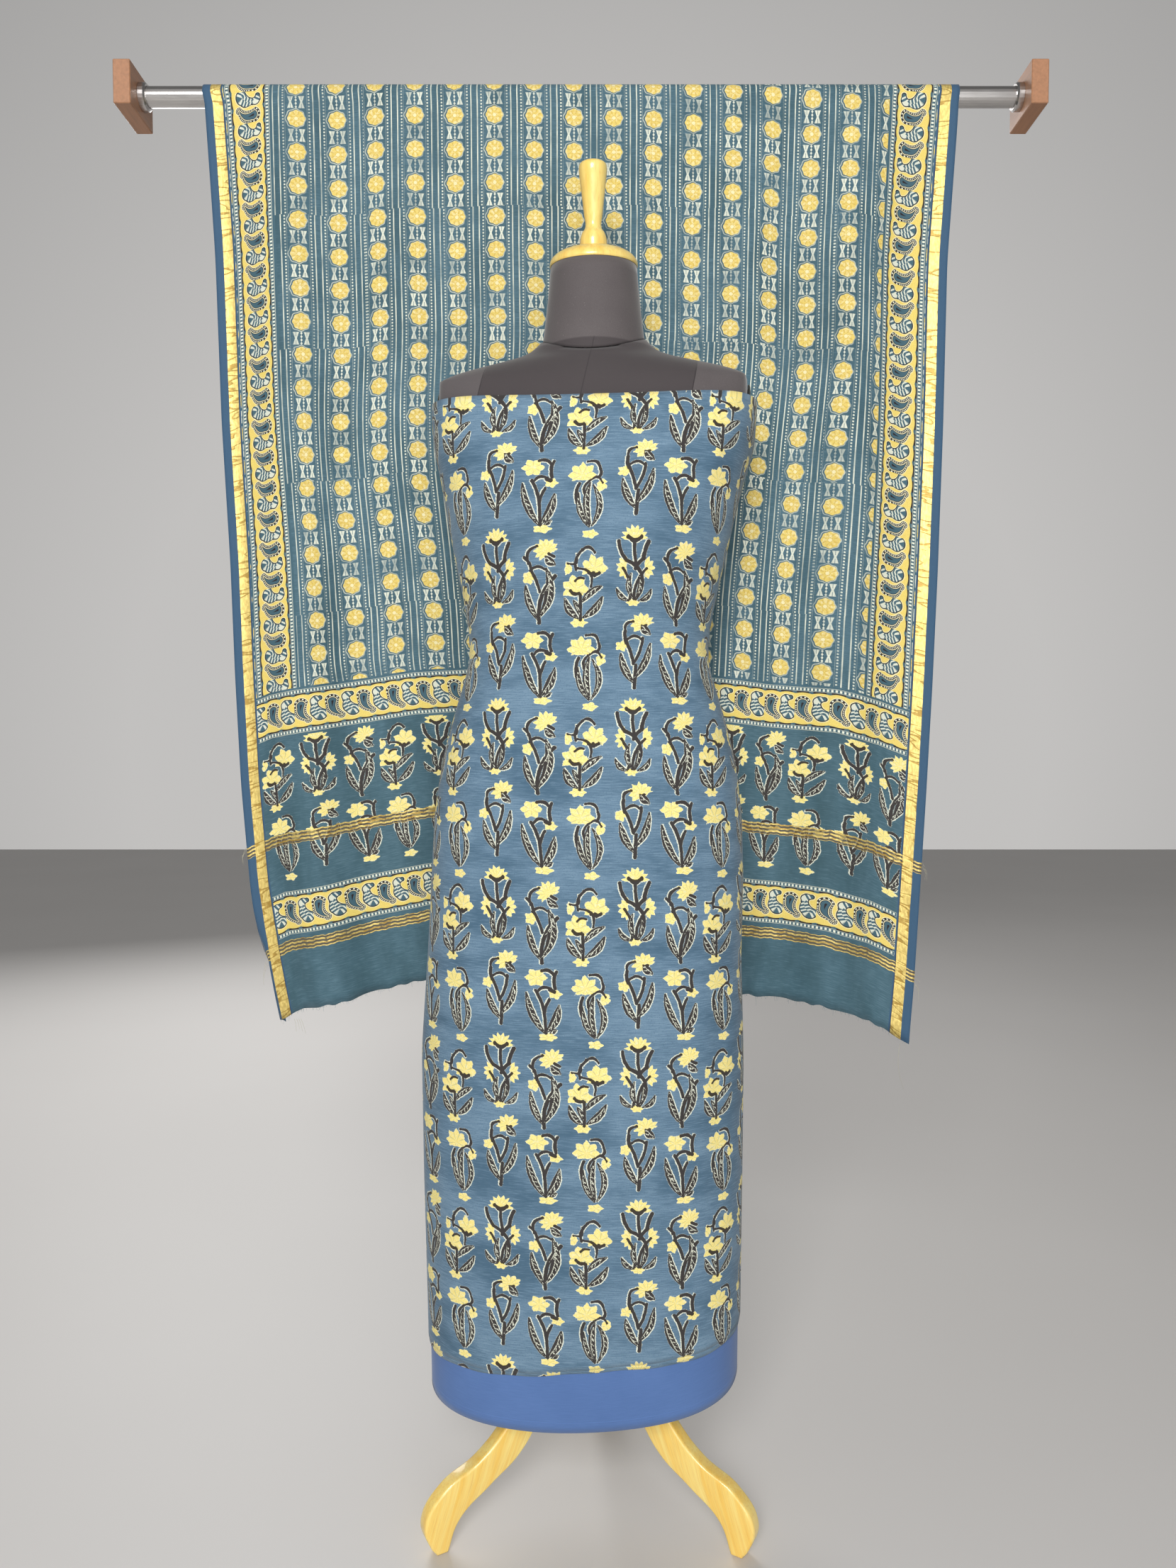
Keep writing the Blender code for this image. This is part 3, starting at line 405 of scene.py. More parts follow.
class Finish:
    """A material, or the room round all, whose shader is fed by nodes."""

    def __init__(self, name, room=None):
        self.material = room or bpy.data.materials.new(name)
        self.material.use_nodes = True
        self.tree = self.material.node_tree
        self.shader = self.tree.nodes["Background" if room else "Principled BSDF"]

    def node(self, kind, settings=None, values=(), output=0):
        """A node of a type, with its settings made first and then its sockets' values or links."""
        made = self.tree.nodes.new(kind)
        for name, value in (settings or {}).items():
            if name == "stops":
                fill_ramp(made.color_ramp, value)
            else:
                setattr(made, name, value)
        pairs = values.items() if isinstance(values, dict) else enumerate(values)
        for key, value in pairs:
            self.feed(made.inputs[key], value)
        return Value(self, made.outputs[output])

    def feed(self, socket, value):
        """Link a value to a socket, or set it; colours are written without their alpha."""
        if isinstance(value, Value):
            self.tree.links.new(value.socket, socket)
        elif socket.type == "RGBA":
            socket.default_value = (*value, 1.0)
        else:
            socket.default_value = value

    def surface(self, **sockets):
        """Feed the shader's sockets, whose names have underscores for spaces."""
        for name, value in sockets.items():
            self.feed(self.shader.inputs[name.replace("_", " ")], value)
        return self.material

    def split(self, vector):
        """The first part of a vector; its other parts are the outputs Y and Z."""
        return self.node("ShaderNodeSeparateXYZ", values=(vector,))

    def cloth_place(self):
        """Millimetres across and along the cloth, from its UV map, alone and as a vector."""
        place = self.split(self.node("ShaderNodeUVMap", {"uv_map": "cloth"}))
        across = place * 1000.0
        along = place.other("Y") * 1000.0
        return across, along, self.join(across, along)

    def object_place(self):
        return self.node("ShaderNodeTexCoord", output="Object")

    def vector(self, operation, *values, output=0):
        return self.node("ShaderNodeVectorMath", {"operation": operation}, values, output)

    def join(self, x, y, z=0.0):
        return self.node("ShaderNodeCombineXYZ", values=(x, y, z))

    def noise(self, place, scale, detail=2.0, roughness=0.5, output=0):
        values = {"Vector": place, "Scale": scale, "Detail": detail, "Roughness": roughness}
        return self.node("ShaderNodeTexNoise", values=values, output=output)

    def drawn_noise(self, place, stretch, *settings):
        """Noise that is drawn out by a factor along each axis."""
        return self.noise(self.vector("MULTIPLY", place, stretch), *settings)

    def chance(self, *values):
        """A fixed random number for each set of whole numbers."""
        return self.node("ShaderNodeTexWhiteNoise", {"noise_dimensions": "3D"},
                         (self.join(*values),))

    def look_up(self, stops, key):
        """The two entries that a slot's ramps hold at a key."""
        return [self.node("ShaderNodeValToRGB", {"stops": part}, (key,)) for part in stops]

    def mix(self, first, second, share):
        return self.node("ShaderNodeMix", {"data_type": "RGBA"}, {0: share, 6: first, 7: second},
                         output=2)

    def coats(self, colour, *coats):
        """A colour with others laid over it in turn, each by its share."""
        for coat, share in coats:
            colour = self.mix(colour, coat, share)
        return colour

    def bump(self, height, strength, distance):
        values = {"Strength": strength, "Distance": distance, "Height": height}
        return self.node("ShaderNodeBump", values=values)


def fill_ramp(ramp, stops):
    """Give a ramp its stops, each flat up to the next."""
    ramp.interpolation = "CONSTANT"
    while len(ramp.elements) > 1:
        ramp.elements.remove(ramp.elements[-1])
    ramp.elements[0].position = stops[0][0]
    ramp.elements[0].color = stops[0][1]
    for position, colour in stops[1:]:
        ramp.elements.new(position).color = colour


# Sprigs. A sprig is drawn from chart entries that are looked up in ramps. The key of a ramp is
# the sprig and the quarter of the cell's height, so one set of slots draws all six sprigs. An
# entry is a ramp's colour, so its millimetres are stored as shares of the chart's unit.
CHART_UNIT = 100.0
CHART_LEFT = 50.0
HALO = 1.8
RESIST_SHIFT = 1.0
LOBE_UNIT = 20.0
LEAF_TIP = 0.06


def chord(stroke):
    """A stroke's run across and down, and its length."""
    across = stroke.x1 - stroke.x0
    down = stroke.y1 - stroke.y0
    return across, down, math.hypot(across, down)


def stroke_reach(stroke):
    """Lowest and highest y of a bent stroke."""
    part = np.linspace(0.0, 1.0, 9)
    across, down, length = chord(stroke)
    y = stroke.y0 + part * down + across / length * stroke.bend * 4.0 * part * (1.0 - part)
    return y.min() - stroke.half_width, y.max() + stroke.half_width


def bloom_reach(bloom):
    """Lowest and highest y of a bloom."""
    reach = bloom.radius * 1.15 * max(bloom.flat, 1.0)
    return bloom.y - reach, bloom.y + reach


def stroke_entry(stroke):
    """Two ramp colours: start, bend and half width, then direction and length."""
    across, down, length = chord(stroke)
    start = ((stroke.x0 + CHART_LEFT) / CHART_UNIT, stroke.y0 / CHART_UNIT,
             0.5 + stroke.bend / CHART_UNIT, stroke.half_width / CHART_UNIT)
    return start, (0.5 + 0.5 * across / length, 0.5 + 0.5 * down / length, 0.5,
                   length / CHART_UNIT)


def bloom_entry(bloom):
    """Two ramp colours: middle, cut and radius, then direction, flatness and lobes."""
    turn = math.radians(bloom.turn)
    middle = ((bloom.x + CHART_LEFT) / CHART_UNIT, bloom.y / CHART_UNIT,
              bloom.cut / CHART_UNIT, bloom.radius / CHART_UNIT)
    return middle, (0.5 + 0.5 * math.cos(turn), 0.5 + 0.5 * math.sin(turn), bloom.flat / 2.0,
                    bloom.lobes / LOBE_UNIT)


def chart_slots(field, reach, entry, empty):
    """Ramp stops for each slot of a kind of shape, by sprig and quarter of the cell."""
    quarter = CELL_HEIGHT / BANDS
    found = []
    for sprig in SPRIGS:
        for band in range(BANDS):
            low = band * quarter - HALO
            high = (band + 1) * quarter + HALO
            found.append([shape for shape in getattr(sprig, field)
                          if reach(shape)[1] > low and reach(shape)[0] < high])
    slots = []
    for slot in range(max(len(shapes) for shapes in found)):
        rows = [entry(shapes[slot]) if slot < len(shapes) else empty for shapes in found]
        slots.append([[(index / len(rows), row[part]) for index, row in enumerate(rows)]
                      for part in (0, 1)])
    return slots


NO_STROKE = ((0.0, 0.0, 0.5, 0.0), (1.0, 0.5, 0.5, 0.001))
NO_BLOOM = ((0.0, 0.0, 0.0, 0.0001), (1.0, 0.5, 0.5, 0.05))


def stroke_field(finish, point, key, stops, swells):
    """How deep a point lies in a bent stroke and in its resist, and where it lies along and across.

    The point is taken along and across the stroke's chord. The chord is bent by a parabola, and
    the depth is the half width less the distance from it. A leaf's half width is itself a
    parabola along the chord. The resist is the same stroke printed a little to one side.
    """
    start, course = finish.look_up(stops, key)
    away = finish.vector("SUBTRACT", point, start)
    heading = finish.vector("MULTIPLY_ADD", course, (2.0, 2.0, 2.0), (-1.0, -1.0, -1.0))
    along = finish.vector("DOT_PRODUCT", away, heading, output="Value")
    crossed = finish.split(finish.vector("CROSS_PRODUCT", heading, away))
    bend = finish.split(away).other("Z") * -1.0 - 0.5
    length = course.other("Alpha")
    kept = along.most(0.0).least(length)
    part = kept / length
    swell = part * (1.0 - part) * 4.0
    across = crossed.other("Z") - bend * swell
    beyond = along - kept
    width = start.other("Alpha")
    if swells:
        width = width * (swell + LEAF_TIP)
    beyond = beyond * beyond
    depth = width - (across * across + beyond).maths("SQRT")
    aside = across - RESIST_SHIFT / CHART_UNIT
    resist = width - (aside * aside + beyond).maths("SQRT")
    return [value * CHART_UNIT for value in (depth, resist, kept, across)]


def bloom_field(finish, point, key, stops):
    """How deep a point lies in a bloom: a disc with a lobed rim, cut across ahead of its base."""
    middle, course = finish.look_up(stops, key)
    away = finish.split(finish.vector("SUBTRACT", point, middle))
    heading = finish.split(course)
    down = away.other("Y") / (heading.other("Z") * 2.0)
    turn = down.maths("ARCTAN2", away)
    lobes = (turn * course.other("Alpha") * LOBE_UNIT).maths("COSINE").maths("ARCSINE") * (2.0 / math.pi)
    radius = middle.other("Alpha") * (0.95 + lobes * 0.17)
    ahead = away * (heading * 2.0 - 1.0) + away.other("Y") * (heading.other("Y") * 2.0 - 1.0)
    depth = (radius - distance(away, down)).least(ahead - away.other("Z"))
    return depth * CHART_UNIT, lobes


def sprig_colours(finish, ground, x, y, sprig, rough, blot):
    """The ground with the sprigs printed on it.

    x and y are millimetres in the cell and sprig is its number. A pale halo of resist is left
    round all that is drawn; on it lie the yellow blooms, then the dark lines and leaves with
    their pale flecks.
    """
    quarter = (y / (CELL_HEIGHT / BANDS)).floor().most(0.0).least(BANDS - 1.0)
    key = (sprig * float(BANDS) + quarter + 0.5) / float(BANDS * len(SPRIGS))
    point = finish.join((x + CHART_LEFT) / CHART_UNIT, y / CHART_UNIT)
    lines, leaves, resists, flecks, blooms, veins = [], [], [], [], [], []
    for stops in chart_slots("lines", stroke_reach, stroke_entry, NO_STROKE):
        depth, edge, _, _ = stroke_field(finish, point, key, stops, swells=False)
        lines.append(depth)
        resists.append(edge)
    for stops in chart_slots("leaves", stroke_reach, stroke_entry, NO_STROKE):
        depth, edge, along, across = stroke_field(finish, point, key, stops, swells=True)
        veining = (along + abs(across) * 1.2 + (blot - 0.5) * 9.0).wave(6.4)
        comb = (veining * 1.5 - 1.2).least(depth - 0.3).least(across * 1.6 + 0.2)
        slit = (depth - 0.9).least(0.30 - abs(across + 0.9))
        leaves.append(depth)
        resists.append(edge)
        flecks.append(comb.most(slit))
    for stops in chart_slots("blooms", bloom_reach, bloom_entry, NO_BLOOM):
        depth, lobes = bloom_field(finish, point, key, stops)
        blooms.append(depth)
        veins.append((depth - 0.8).least((0.0 - lobes - 0.66) * 2.6))
    blooms = union(blooms)
    wander = (rough - 0.5) * 2.6
    ragged = wander + (blot - 0.5) * 4.0
    drawn = union(lines).most(union(leaves)) + 0.95
    halo = union(resists).most(drawn - 1.0) + 1.15 + wander * 1.3
    petals = finish.coats(
        FLOWER_YELLOW,
        (FLOWER_PALE, (rough - 0.52).step(0.2) * 0.75),
        (RESIST_WHITE, (blot - 0.62).step(0.16) * 0.4),
        (PETAL_LINE, (union(veins) + wander * 0.6).step(0.6) * 0.55))
    return finish.coats(
        ground,
        (RESIST_WHITE, halo.most(blooms + 0.35 + ragged).step(0.4) * 0.9),
        (petals, (blooms + ragged).step(0.4)),
        (INK, (drawn + wander * 0.5).step(0.35) * 0.97),
        (RESIST_WHITE, (union(flecks) + wander).step(0.5) * 0.95))


def block_columns(x, pitch, second, third):
    """A column's number, its kind of three, and how far up its blocks sit by kind."""
    column = (x / pitch).floor()
    kind = column % 3.0
    lift = kind.maths("COMPARE", 1.0, 0.4) * second + kind.maths("COMPARE", 2.0, 0.4) * third
    return column, kind, lift


def woven_bump(finish, across, along):
    """Fine slub of the cloth: uneven threads, longer across than along."""
    threads = finish.noise(finish.join(across * 0.12, along * 1.6), 1.0, 3.0, 0.6)
    warp = finish.noise(finish.join(across * 1.7, along * 0.15, 7.0), 1.0, 2.0, 0.5)
    return threads * 0.6 + warp * 0.4


def kameez_finish():
    """Blue ground with sprigs in slanted columns, each block set down a little apart."""
    finish = Finish("kameez_print")
    across, along, place = finish.cloth_place()
    drift = finish.split(finish.noise(place, 0.16, 2.0, output="Color"))
    slant = (along - 600.0).step(300.0) * 15.0 + 5.0
    x = across - slant + (drift - 0.5) * 1.6 + KAMEEZ_PITCH * 0.5
    y = along + (drift.other("Y") - 0.5) * 1.6
    column, kind, lift = block_columns(x, KAMEEZ_PITCH, 27.0, 7.0)
    down = y - FIRST_ROW + lift + (y - 700.0).most(0.0) * 0.022
    row = (down / CELL_HEIGHT).floor()
    cell_x = x % KAMEEZ_PITCH - KAMEEZ_PITCH * 0.5 + (finish.chance(column, row, 3.0) - 0.5) * 1.8
    cell_y = down % CELL_HEIGHT + (finish.chance(column, row, 9.0) - 0.5) * 2.0
    wash = finish.noise(finish.join(across * 0.6, along * 1.6), 0.012, 4.0, 0.6)
    streaks = finish.noise(finish.join(across * 0.05, along * 0.9, 2.0), 1.0, 3.0, 0.65)
    flecks = finish.noise(place, 0.55, 2.0, 0.6)
    ground = finish.coats(
        KAMEEZ_DEEP,
        (KAMEEZ_GROUND, (wash - 0.46).step(0.22)),
        (KAMEEZ_PALE, (streaks + wash * 0.6 - 0.86).step(0.26) * 0.75),
        (KAMEEZ_DEEP, (flecks - 0.64).step(0.2) * 0.6))
    colour = sprig_colours(finish, ground, cell_x, cell_y, kind * 2.0 + row % 2.0,
                           finish.noise(place, 0.75, 2.0, 0.6), finish.noise(place, 0.22, 2.0))
    weave = woven_bump(finish, across, along)
    return finish.surface(Base_Color=colour, Roughness=0.82,
                          Normal=finish.bump(weave, 0.35, 0.0006), Sheen_Weight=0.12,
                          Sheen_Roughness=0.5, Specular_IOR_Level=0.25)


def teardrop(a, b, bulb, tail, bend, radius, tip):
    """Depth in a drop whose radius narrows evenly from its bulb to a bent tail."""
    run = (tail[0] - bulb[0], tail[1] - bulb[1])
    length = math.hypot(*run)
    heading = (run[0] / length, run[1] / length)
    right = a - bulb[0]
    up = b - bulb[1]
    along = right * heading[0] + up * heading[1]
    kept = along.most(0.0).least(length)
    part = kept / length
    across = up * heading[0] - right * heading[1] - part * (1.0 - part) * (4.0 * bend)
    beyond = along - kept
    turn = across.maths("ARCTAN2", beyond + 0.001)
    return part * (tip - radius) + radius - distance(across, beyond), kept, turn


def paisley_border(finish, a, b, rough):
    """A yellow band of paisleys and leaf sprays between ticked edges; b runs across it."""
    pitch = 40.6
    a = a % pitch
    side = abs(b)
    scallop = abs(a.wave(pitch)) * 1.6
    field = (19.9 + scallop - side).step(0.5)
    ticks = side.band(24.4, 27.6, 0.4) * (a % 4.51).band(0.8, 3.1, 0.4)
    tick_line = side.band(28.2, 29.0, 0.4) + side.band(23.2, 23.8, 0.4)
    dashes = side.band(21.0, 23.3, 0.4) * (a % 20.3).band(1.5, 16.5, 0.5)
    drop, run, turn = teardrop(a, b, (9.5, 6.5), (17.8, -12.5), -4.8, 10.2, 4.7)
    beads = drop.band(0.7, 2.3, 0.4) * ((run * 1.4 + turn * 6.0).wave(3.4) - 0.2).step(0.5)
    spray, reach, spin = teardrop(a, b, (33.0, -6.5), (27.0, 6.5), 3.0, 9.6, 5.2)
    bud, rise, _ = teardrop(a, b, (27.5, 10.5), (34.8, 14.0), 1.5, 6.2, 3.3)
    spray = spray.most(bud)
    stripes = (spray - 1.3).step(0.4) * ((reach + rise + spin).wave(4.4) - 0.2).step(0.5)
    ochre = finish.mix(FLOWER_YELLOW, FLOWER_OCHRE, (rough - 0.45).step(0.5) * 0.6)
    return finish.coats(
        TEAL_GROUND,
        (RESIST_WHITE, (ticks + tick_line * 0.6).least(1.0) * 0.95),
        (INK, dashes),
        (ochre, field),
        (CREAM, (drop + 1.0).step(0.5) * field * 0.8),
        (CREAM, (spray + 1.0).step(0.5) * field * 0.8),
        (INK, drop.step(0.4)),
        (RESIST_WHITE, beads),
        (CREAM, (drop - 3.2).step(0.4) * 0.9),
        (TEAL_GROUND, (drop - 4.2).step(0.4)),
        (INK, drop.band(4.2, 4.9, 0.4) + (drop - 8.6).step(0.4)),
        (TEAL_GROUND, spray.step(0.4)),
        (INK, spray.band(0.0, 1.2, 0.4)),
        (RESIST_WHITE, stripes * 0.85))


def striped_field(finish, across, along, ground, rough):
    """The main field: columns of yellow roundels and white bows between lines and dotted lines."""
    unit = 51.5
    pitch = 44.0
    block = (along / 175.0).floor()
    lot = (across / 206.0).floor()
    jog = (finish.chance(block, lot, 1.0) - 0.5) * 3.2
    slip = (finish.chance(block, lot, 5.0) - 0.5) * 3.0
    x = (across - 97.0 + jog) % unit
    y = (along + slip + (across - 400.0) * 0.03) % pitch
    wander = (rough - 0.5) * 0.9
    lines = x.band(0.3, 1.8, 0.5) + x.band(43.7, 45.2, 0.5) * 0.95
    lines = lines + x.band(8.5, 9.0, 0.4) * 0.35 + x.band(36.6, 37.1, 0.4) * 0.35
    dotted = (x.band(5.2, 7.2, 0.5) + x.band(38.4, 40.4, 0.5)) * (along % 4.1).band(1.1, 3.1, 0.5)
    middle = x - 23.0
    up = y - 0.5 * pitch
    far = distance(middle, up)
    petals = (up.maths("ARCTAN2", middle) * 8.0).maths("COSINE")
    disc = 10.9 + petals * 0.45 - far + wander
    ring = abs(distance(middle + 1.0, up) - 12.4 - petals * 0.6)
    wing = 0.5 * pitch - abs(up)
    lean = abs(abs(middle) - 7.0)
    bows = ((1.2 + wing * 0.33) - lean).least(8.2 - wing).step(0.5)
    bows = bows * (1.0 - lean.band(-1.0, 0.35, 0.3) * wing.band(2.5, 9.0, 0.3) * 0.8)
    lozenge = (1.5 - abs(middle) - abs(wing % 4.4 - 2.2) * 0.7).step(0.5) * (8.6 - wing).step(0.5)
    white = (lines + dotted).least(1.0).most((bows + lozenge).least(1.0))
    white = white.most((0.6 - ring).step(0.5) * 0.7)
    patch = finish.noise(finish.join(across, along, 4.0), 0.02, 3.0, 0.6)
    mottle = finish.noise(finish.join(across, along, 6.0), 0.3, 2.0)
    strength = (patch - 0.47).step(0.22) * 0.5 + 0.38
    seeds = (far - 3.0).band(-0.7, 0.7, 0.4) * (petals - 0.1).step(0.6)
    veins = far.band(4.6, 9.2, 0.8) * (0.0 - petals - 0.55).step(0.4)
    ochre = finish.coats(
        FLOWER_YELLOW,
        (FLOWER_OCHRE, (patch * 0.6 + rough - 0.66).step(0.4) * 0.65),
        (CREAM, (mottle - 0.56).step(0.2) * 0.6))
    return finish.coats(
        ground,
        (RESIST_WHITE, white * strength * (rough - 0.28).step(0.25)),
        (ochre, disc.step(0.5)),
        (CREAM, (2.3 - far).step(0.6) * 0.7),
        (FLOWER_OCHRE, (seeds + veins).least(1.0) * 0.8))


def dupatta_finish():
    """The striped field inside paisley borders, the ends' sprig rows, and the woven gold."""
    finish = Finish("dupatta_print")
    across, along, place = finish.cloth_place()
    half = DUPATTA_WIDTH * 500.0
    edge = half - abs(across - half)
    end = along.least(DUPATTA_LENGTH * 1000.0 - along)
    wash = finish.noise(finish.join(across * 1.3, along * 0.5), 0.014, 4.0, 0.62)
    slub = finish.noise(finish.join(across * 0.06, along * 0.9, 2.0), 1.0, 3.0, 0.65)
    rough = finish.noise(place, 0.75, 2.0, 0.6)
    drift = finish.noise(place, 0.2, 2.0)
    ground = finish.coats(
        TEAL_DEEP,
        (TEAL_GROUND, (wash - 0.34).step(0.4)),
        (TEAL_PALE, (slub + wash * 0.5 - 0.86).step(0.3) * 0.5))

    x = across + (drift - 0.5) * 3.0 - 28.0
    _, kind, lift = block_columns(x, CELL_WIDTH, 14.0, 3.0)
    down = 362.0 - end + lift
    row = (down / SPRIG_ROW).floor().least(1.0).most(0.0)
    sprigs = sprig_colours(finish, ground, x % CELL_WIDTH - CELL_WIDTH * 0.5, down % SPRIG_ROW,
                           kind * 2.0 + row, rough, drift)
    inside = (edge - SELVEDGE_BAND).step(0.3)
    sprig_rows = end.band(*SPRIG_ZONE, 0.3) * down.band(0.0, 195.0, 0.3) * inside

    near_end = (END_ZONE - end).step(0.3)
    upper, lower = [end.band(middle - BORDER_HALF_WIDTH, middle + BORDER_HALF_WIDTH, 0.3)
                    for middle in END_BORDERS]
    cross = upper.most(lower)
    middle = lower * (END_BORDERS[1] - END_BORDERS[0]) + END_BORDERS[0]
    run = across * cross + along * (1.0 - cross)
    over = (end - middle) * cross + (edge - 57.5) * (1.0 - cross)
    border = paisley_border(finish, run, over, rough)
    side_border = edge.band(*SIDE_BORDER, 0.3) * (1.0 - near_end)

    wave = end + across.wave(9.0) * 0.35 + across.wave(23.0, 1.0) * 0.5
    lurex = (ZARI_HALF_WIDTH - abs(wave - ZARI_BANDS[0]).least(abs(wave - ZARI_BANDS[1]))).step(0.4)
    threads = (1.15 - abs(wave % ZARI_PITCH - 0.5 * ZARI_PITCH)).step(0.3)
    worn = finish.noise(finish.join(across * 0.22, along * 0.05, 8.0), 1.0, 2.0)
    zari_edge = edge.band(*GOLD_EDGE, 0.4)
    metal = (lurex * threads * (worn - 0.33).step(0.2)).most(zari_edge)
    # creases of the gold edge: grooves in the bump, and painted crease shade darkening the gold colour
    wrinkle = finish.noise(finish.join(edge * 0.012, along * 0.047, 3.0), 1.0, 2.0, 0.6)
    shaded_creases = (0.016 - abs(wrinkle - 0.5)).step(0.016)
    shaded_creases = shaded_creases.most((0.010 - abs(wrinkle - 0.62)).step(0.012) * 0.8)
    # painted shading: noise patches that darken the gold towards its shade colour
    gold_shade_mottle = (finish.noise(finish.join(edge * 0.4, along * 0.16), 1.0, 3.0) - 0.48).step(0.22)
    gold = finish.mix(ZARI_GOLD, ZARI_SHADE, (gold_shade_mottle * 0.5 + shaded_creases * 0.8).least(1.0))

    colour = finish.coats(
        striped_field(finish, across, along, ground, rough),
        (ground, near_end),
        (sprigs, sprig_rows),
        (border, side_border.most(cross * inside)),
        (SELVEDGE_BLUE, (SELVEDGE_BAND - edge).step(0.3)),
        (WEFT_BROWN, lurex * 0.75),
        (gold, metal),
        (INK, edge.band(23.6, 24.3, 0.3) * 0.7))
    height = woven_bump(finish, across, along) + (1.0 - shaded_creases * zari_edge) * 1.5
    return finish.surface(Base_Color=colour, Roughness=0.74 - metal * 0.34, Metallic=metal * 0.4,
                          Normal=finish.bump(height, 0.3, 0.0006), Sheen_Weight=0.15,
                          Sheen_Roughness=0.45, Specular_IOR_Level=0.3)


def salwar_finish():
    """Plain blue cloth with the line of stitches above its hem."""
    finish = Finish("salwar_plain")
    across, along, place = finish.cloth_place()
    wash = finish.noise(place, 0.012, 3.0)
    slub = finish.noise(finish.join(across * 0.05, along * 0.9), 1.0, 3.0, 0.6)
    hem_line = along.band(11.2, 12.4, 0.5)
    colour = finish.coats(
        SALWAR_DEEP,
        (SALWAR_BLUE, (wash * 0.6 + slub * 0.5 - 0.45).step(0.5)),
        ((0.10, 0.19, 0.44), hem_line * 0.6))
    height = woven_bump(finish, across, along) + hem_line * 1.5
    return finish.surface(Base_Color=colour, Roughness=0.8,
                          Normal=finish.bump(height, 0.3, 0.0006), Sheen_Weight=0.15,
                          Sheen_Roughness=0.5, Specular_IOR_Level=0.25)


def cover_finish():
    """Close knit cover of the form, with its seams as fine grooves and painted shade that darkens the
    middle of the shoulders below the neck seam.
    """
    finish = Finish("form_cover")
    place = finish.object_place()
    split = finish.split(place)
    height = split.other("Z")
    knit = finish.drawn_noise(place, (1.0, 1.0, 0.45), 1500.0, 2.0)
    cloud = finish.noise(place, 14.0, 3.0)
    lint = (finish.noise(place, 320.0, 2.0) - 0.72).step(0.05)
    front = (FORM_Y - split.other("Y")).step(0.01)
    low = (1.442 - height).step(0.002)
    slant = split + (height - 1.40) * -0.20
    seams = union([(0.0006 - abs(slant - middle)).step(0.0004) * strength
                   for middle, strength in ((0.0078, 0.6), (-0.113, 1.0), (0.135, 1.0))])
    seams = seams * front * low
    panel = (-0.113 - slant).step(0.0005) * front * low
    # painted shade: the middle of the shoulders, below the neck seam, is darkened in the colour
    middle = (0.124 - abs(slant - 0.011)).step(0.0005) * low
    colour = finish.coats(
        (0.085, 0.073, 0.075),
        ((0.132, 0.117, 0.117), (cloud * 0.6 + knit * 0.5 - 0.5).step(0.6)),
        ((0.20, 0.18, 0.18), lint * 0.4),
        # painted shade on the middle of the shoulders
        ((0.052, 0.044, 0.046), middle * 0.75),
        ((0.110, 0.098, 0.100), panel * 0.5),
        ((0.022, 0.019, 0.021), seams * 0.6))
    relief = knit * 0.25 - seams * 1.4
    return finish.surface(Base_Color=colour, Roughness=0.78,
                          Normal=finish.bump(relief, 0.45, 0.0006), Sheen_Weight=0.35,
                          Sheen_Roughness=0.4, Specular_IOR_Level=0.25)


def wood_finish():
    """Clear varnish on pale orange wood; the grain attribute runs along each piece."""
    finish = Finish("varnished_wood")
    grain = finish.node("ShaderNodeAttribute", {"attribute_name": "grain"}, output="Vector")
    stretched = finish.vector("MULTIPLY", grain, (1.0, 1.0, 0.07))
    broad = finish.noise(stretched, 60.0, 3.0, 0.55)
    fine = finish.noise(stretched, 420.0, 3.0, 0.6)
    colour = finish.coats(
        (0.97, 0.62, 0.12),
        ((1.0, 0.79, 0.26), (broad - 0.5).step(0.35)),
        ((0.72, 0.36, 0.07), (fine - 0.60).step(0.2) * 0.35))
    return finish.surface(Base_Color=colour, Roughness=0.34 + fine * 0.08,
                          Normal=finish.bump(fine, 0.06, 0.0004), Coat_Weight=0.7,
                          Coat_Roughness=0.08)


def plate_finish():
    """Black, half gloss, with faint scuffs."""
    finish = Finish("black_plate")
    place = finish.object_place()
    scuff = finish.noise(place, 60.0, 3.0)
    colour = finish.mix((0.008, 0.008, 0.009), (0.024, 0.023, 0.025),
                        (scuff - 0.5).step(0.4))
    return finish.surface(Base_Color=colour, Roughness=0.34 + scuff * 0.12,
                          Normal=finish.bump(finish.noise(place, 900.0, 2.0), 0.10, 0.0003))


def steel_finish():
    """Satin steel with fine lines drawn along the rod."""
    finish = Finish("satin_steel")
    place = finish.object_place()
    lines = finish.drawn_noise(place, (0.015, 1.0, 1.0), 2600.0, 2.0)
    smear = finish.drawn_noise(place, (0.3, 1.0, 1.0), 40.0, 3.0)
    colour = finish.mix((0.50, 0.48, 0.47), (0.72, 0.70, 0.68),
                        (lines * 0.5 + smear * 0.5 - 0.5).step(0.4))
    return finish.surface(Base_Color=colour, Metallic=1.0,
                          Roughness=0.24 + smear * 0.10 + lines * 0.05,
                          Normal=finish.bump(lines, 0.06, 0.0002))


def bracket_finish():
    """Brown laminate with level grain and a paler line where the faces meet."""
    finish = Finish("bracket_wood")
    place = finish.object_place()
    split = finish.split(place)
    grain = finish.drawn_noise(place, (1.0, 0.08, 1.0), 240.0, 4.0, 0.6)
    inward = 0.595 - abs(split)
    rise = 0.0275 - abs(split.other("Z") - ROD_HEIGHT)
    depth = 0.0365 - abs(split.other("Y") - (FORM_Y + ROD_BACK))
    rim = inward.least(0.022 - inward).most(0.0)
    near = (0.0013 - rim.least(rise).most(0.0)).step(0.0006)
    near = near.most((0.0013 - depth.least(rise)).step(0.0006))
    colour = finish.coats(
        (0.150, 0.055, 0.032),
        ((0.330, 0.135, 0.072), (grain - 0.5).step(0.35)),
        ((0.56, 0.30, 0.16), near * 0.5))
    return finish.surface(Base_Color=colour, Roughness=0.36 + grain * 0.12,
                          Normal=finish.bump(grain, 0.10, 0.0003))


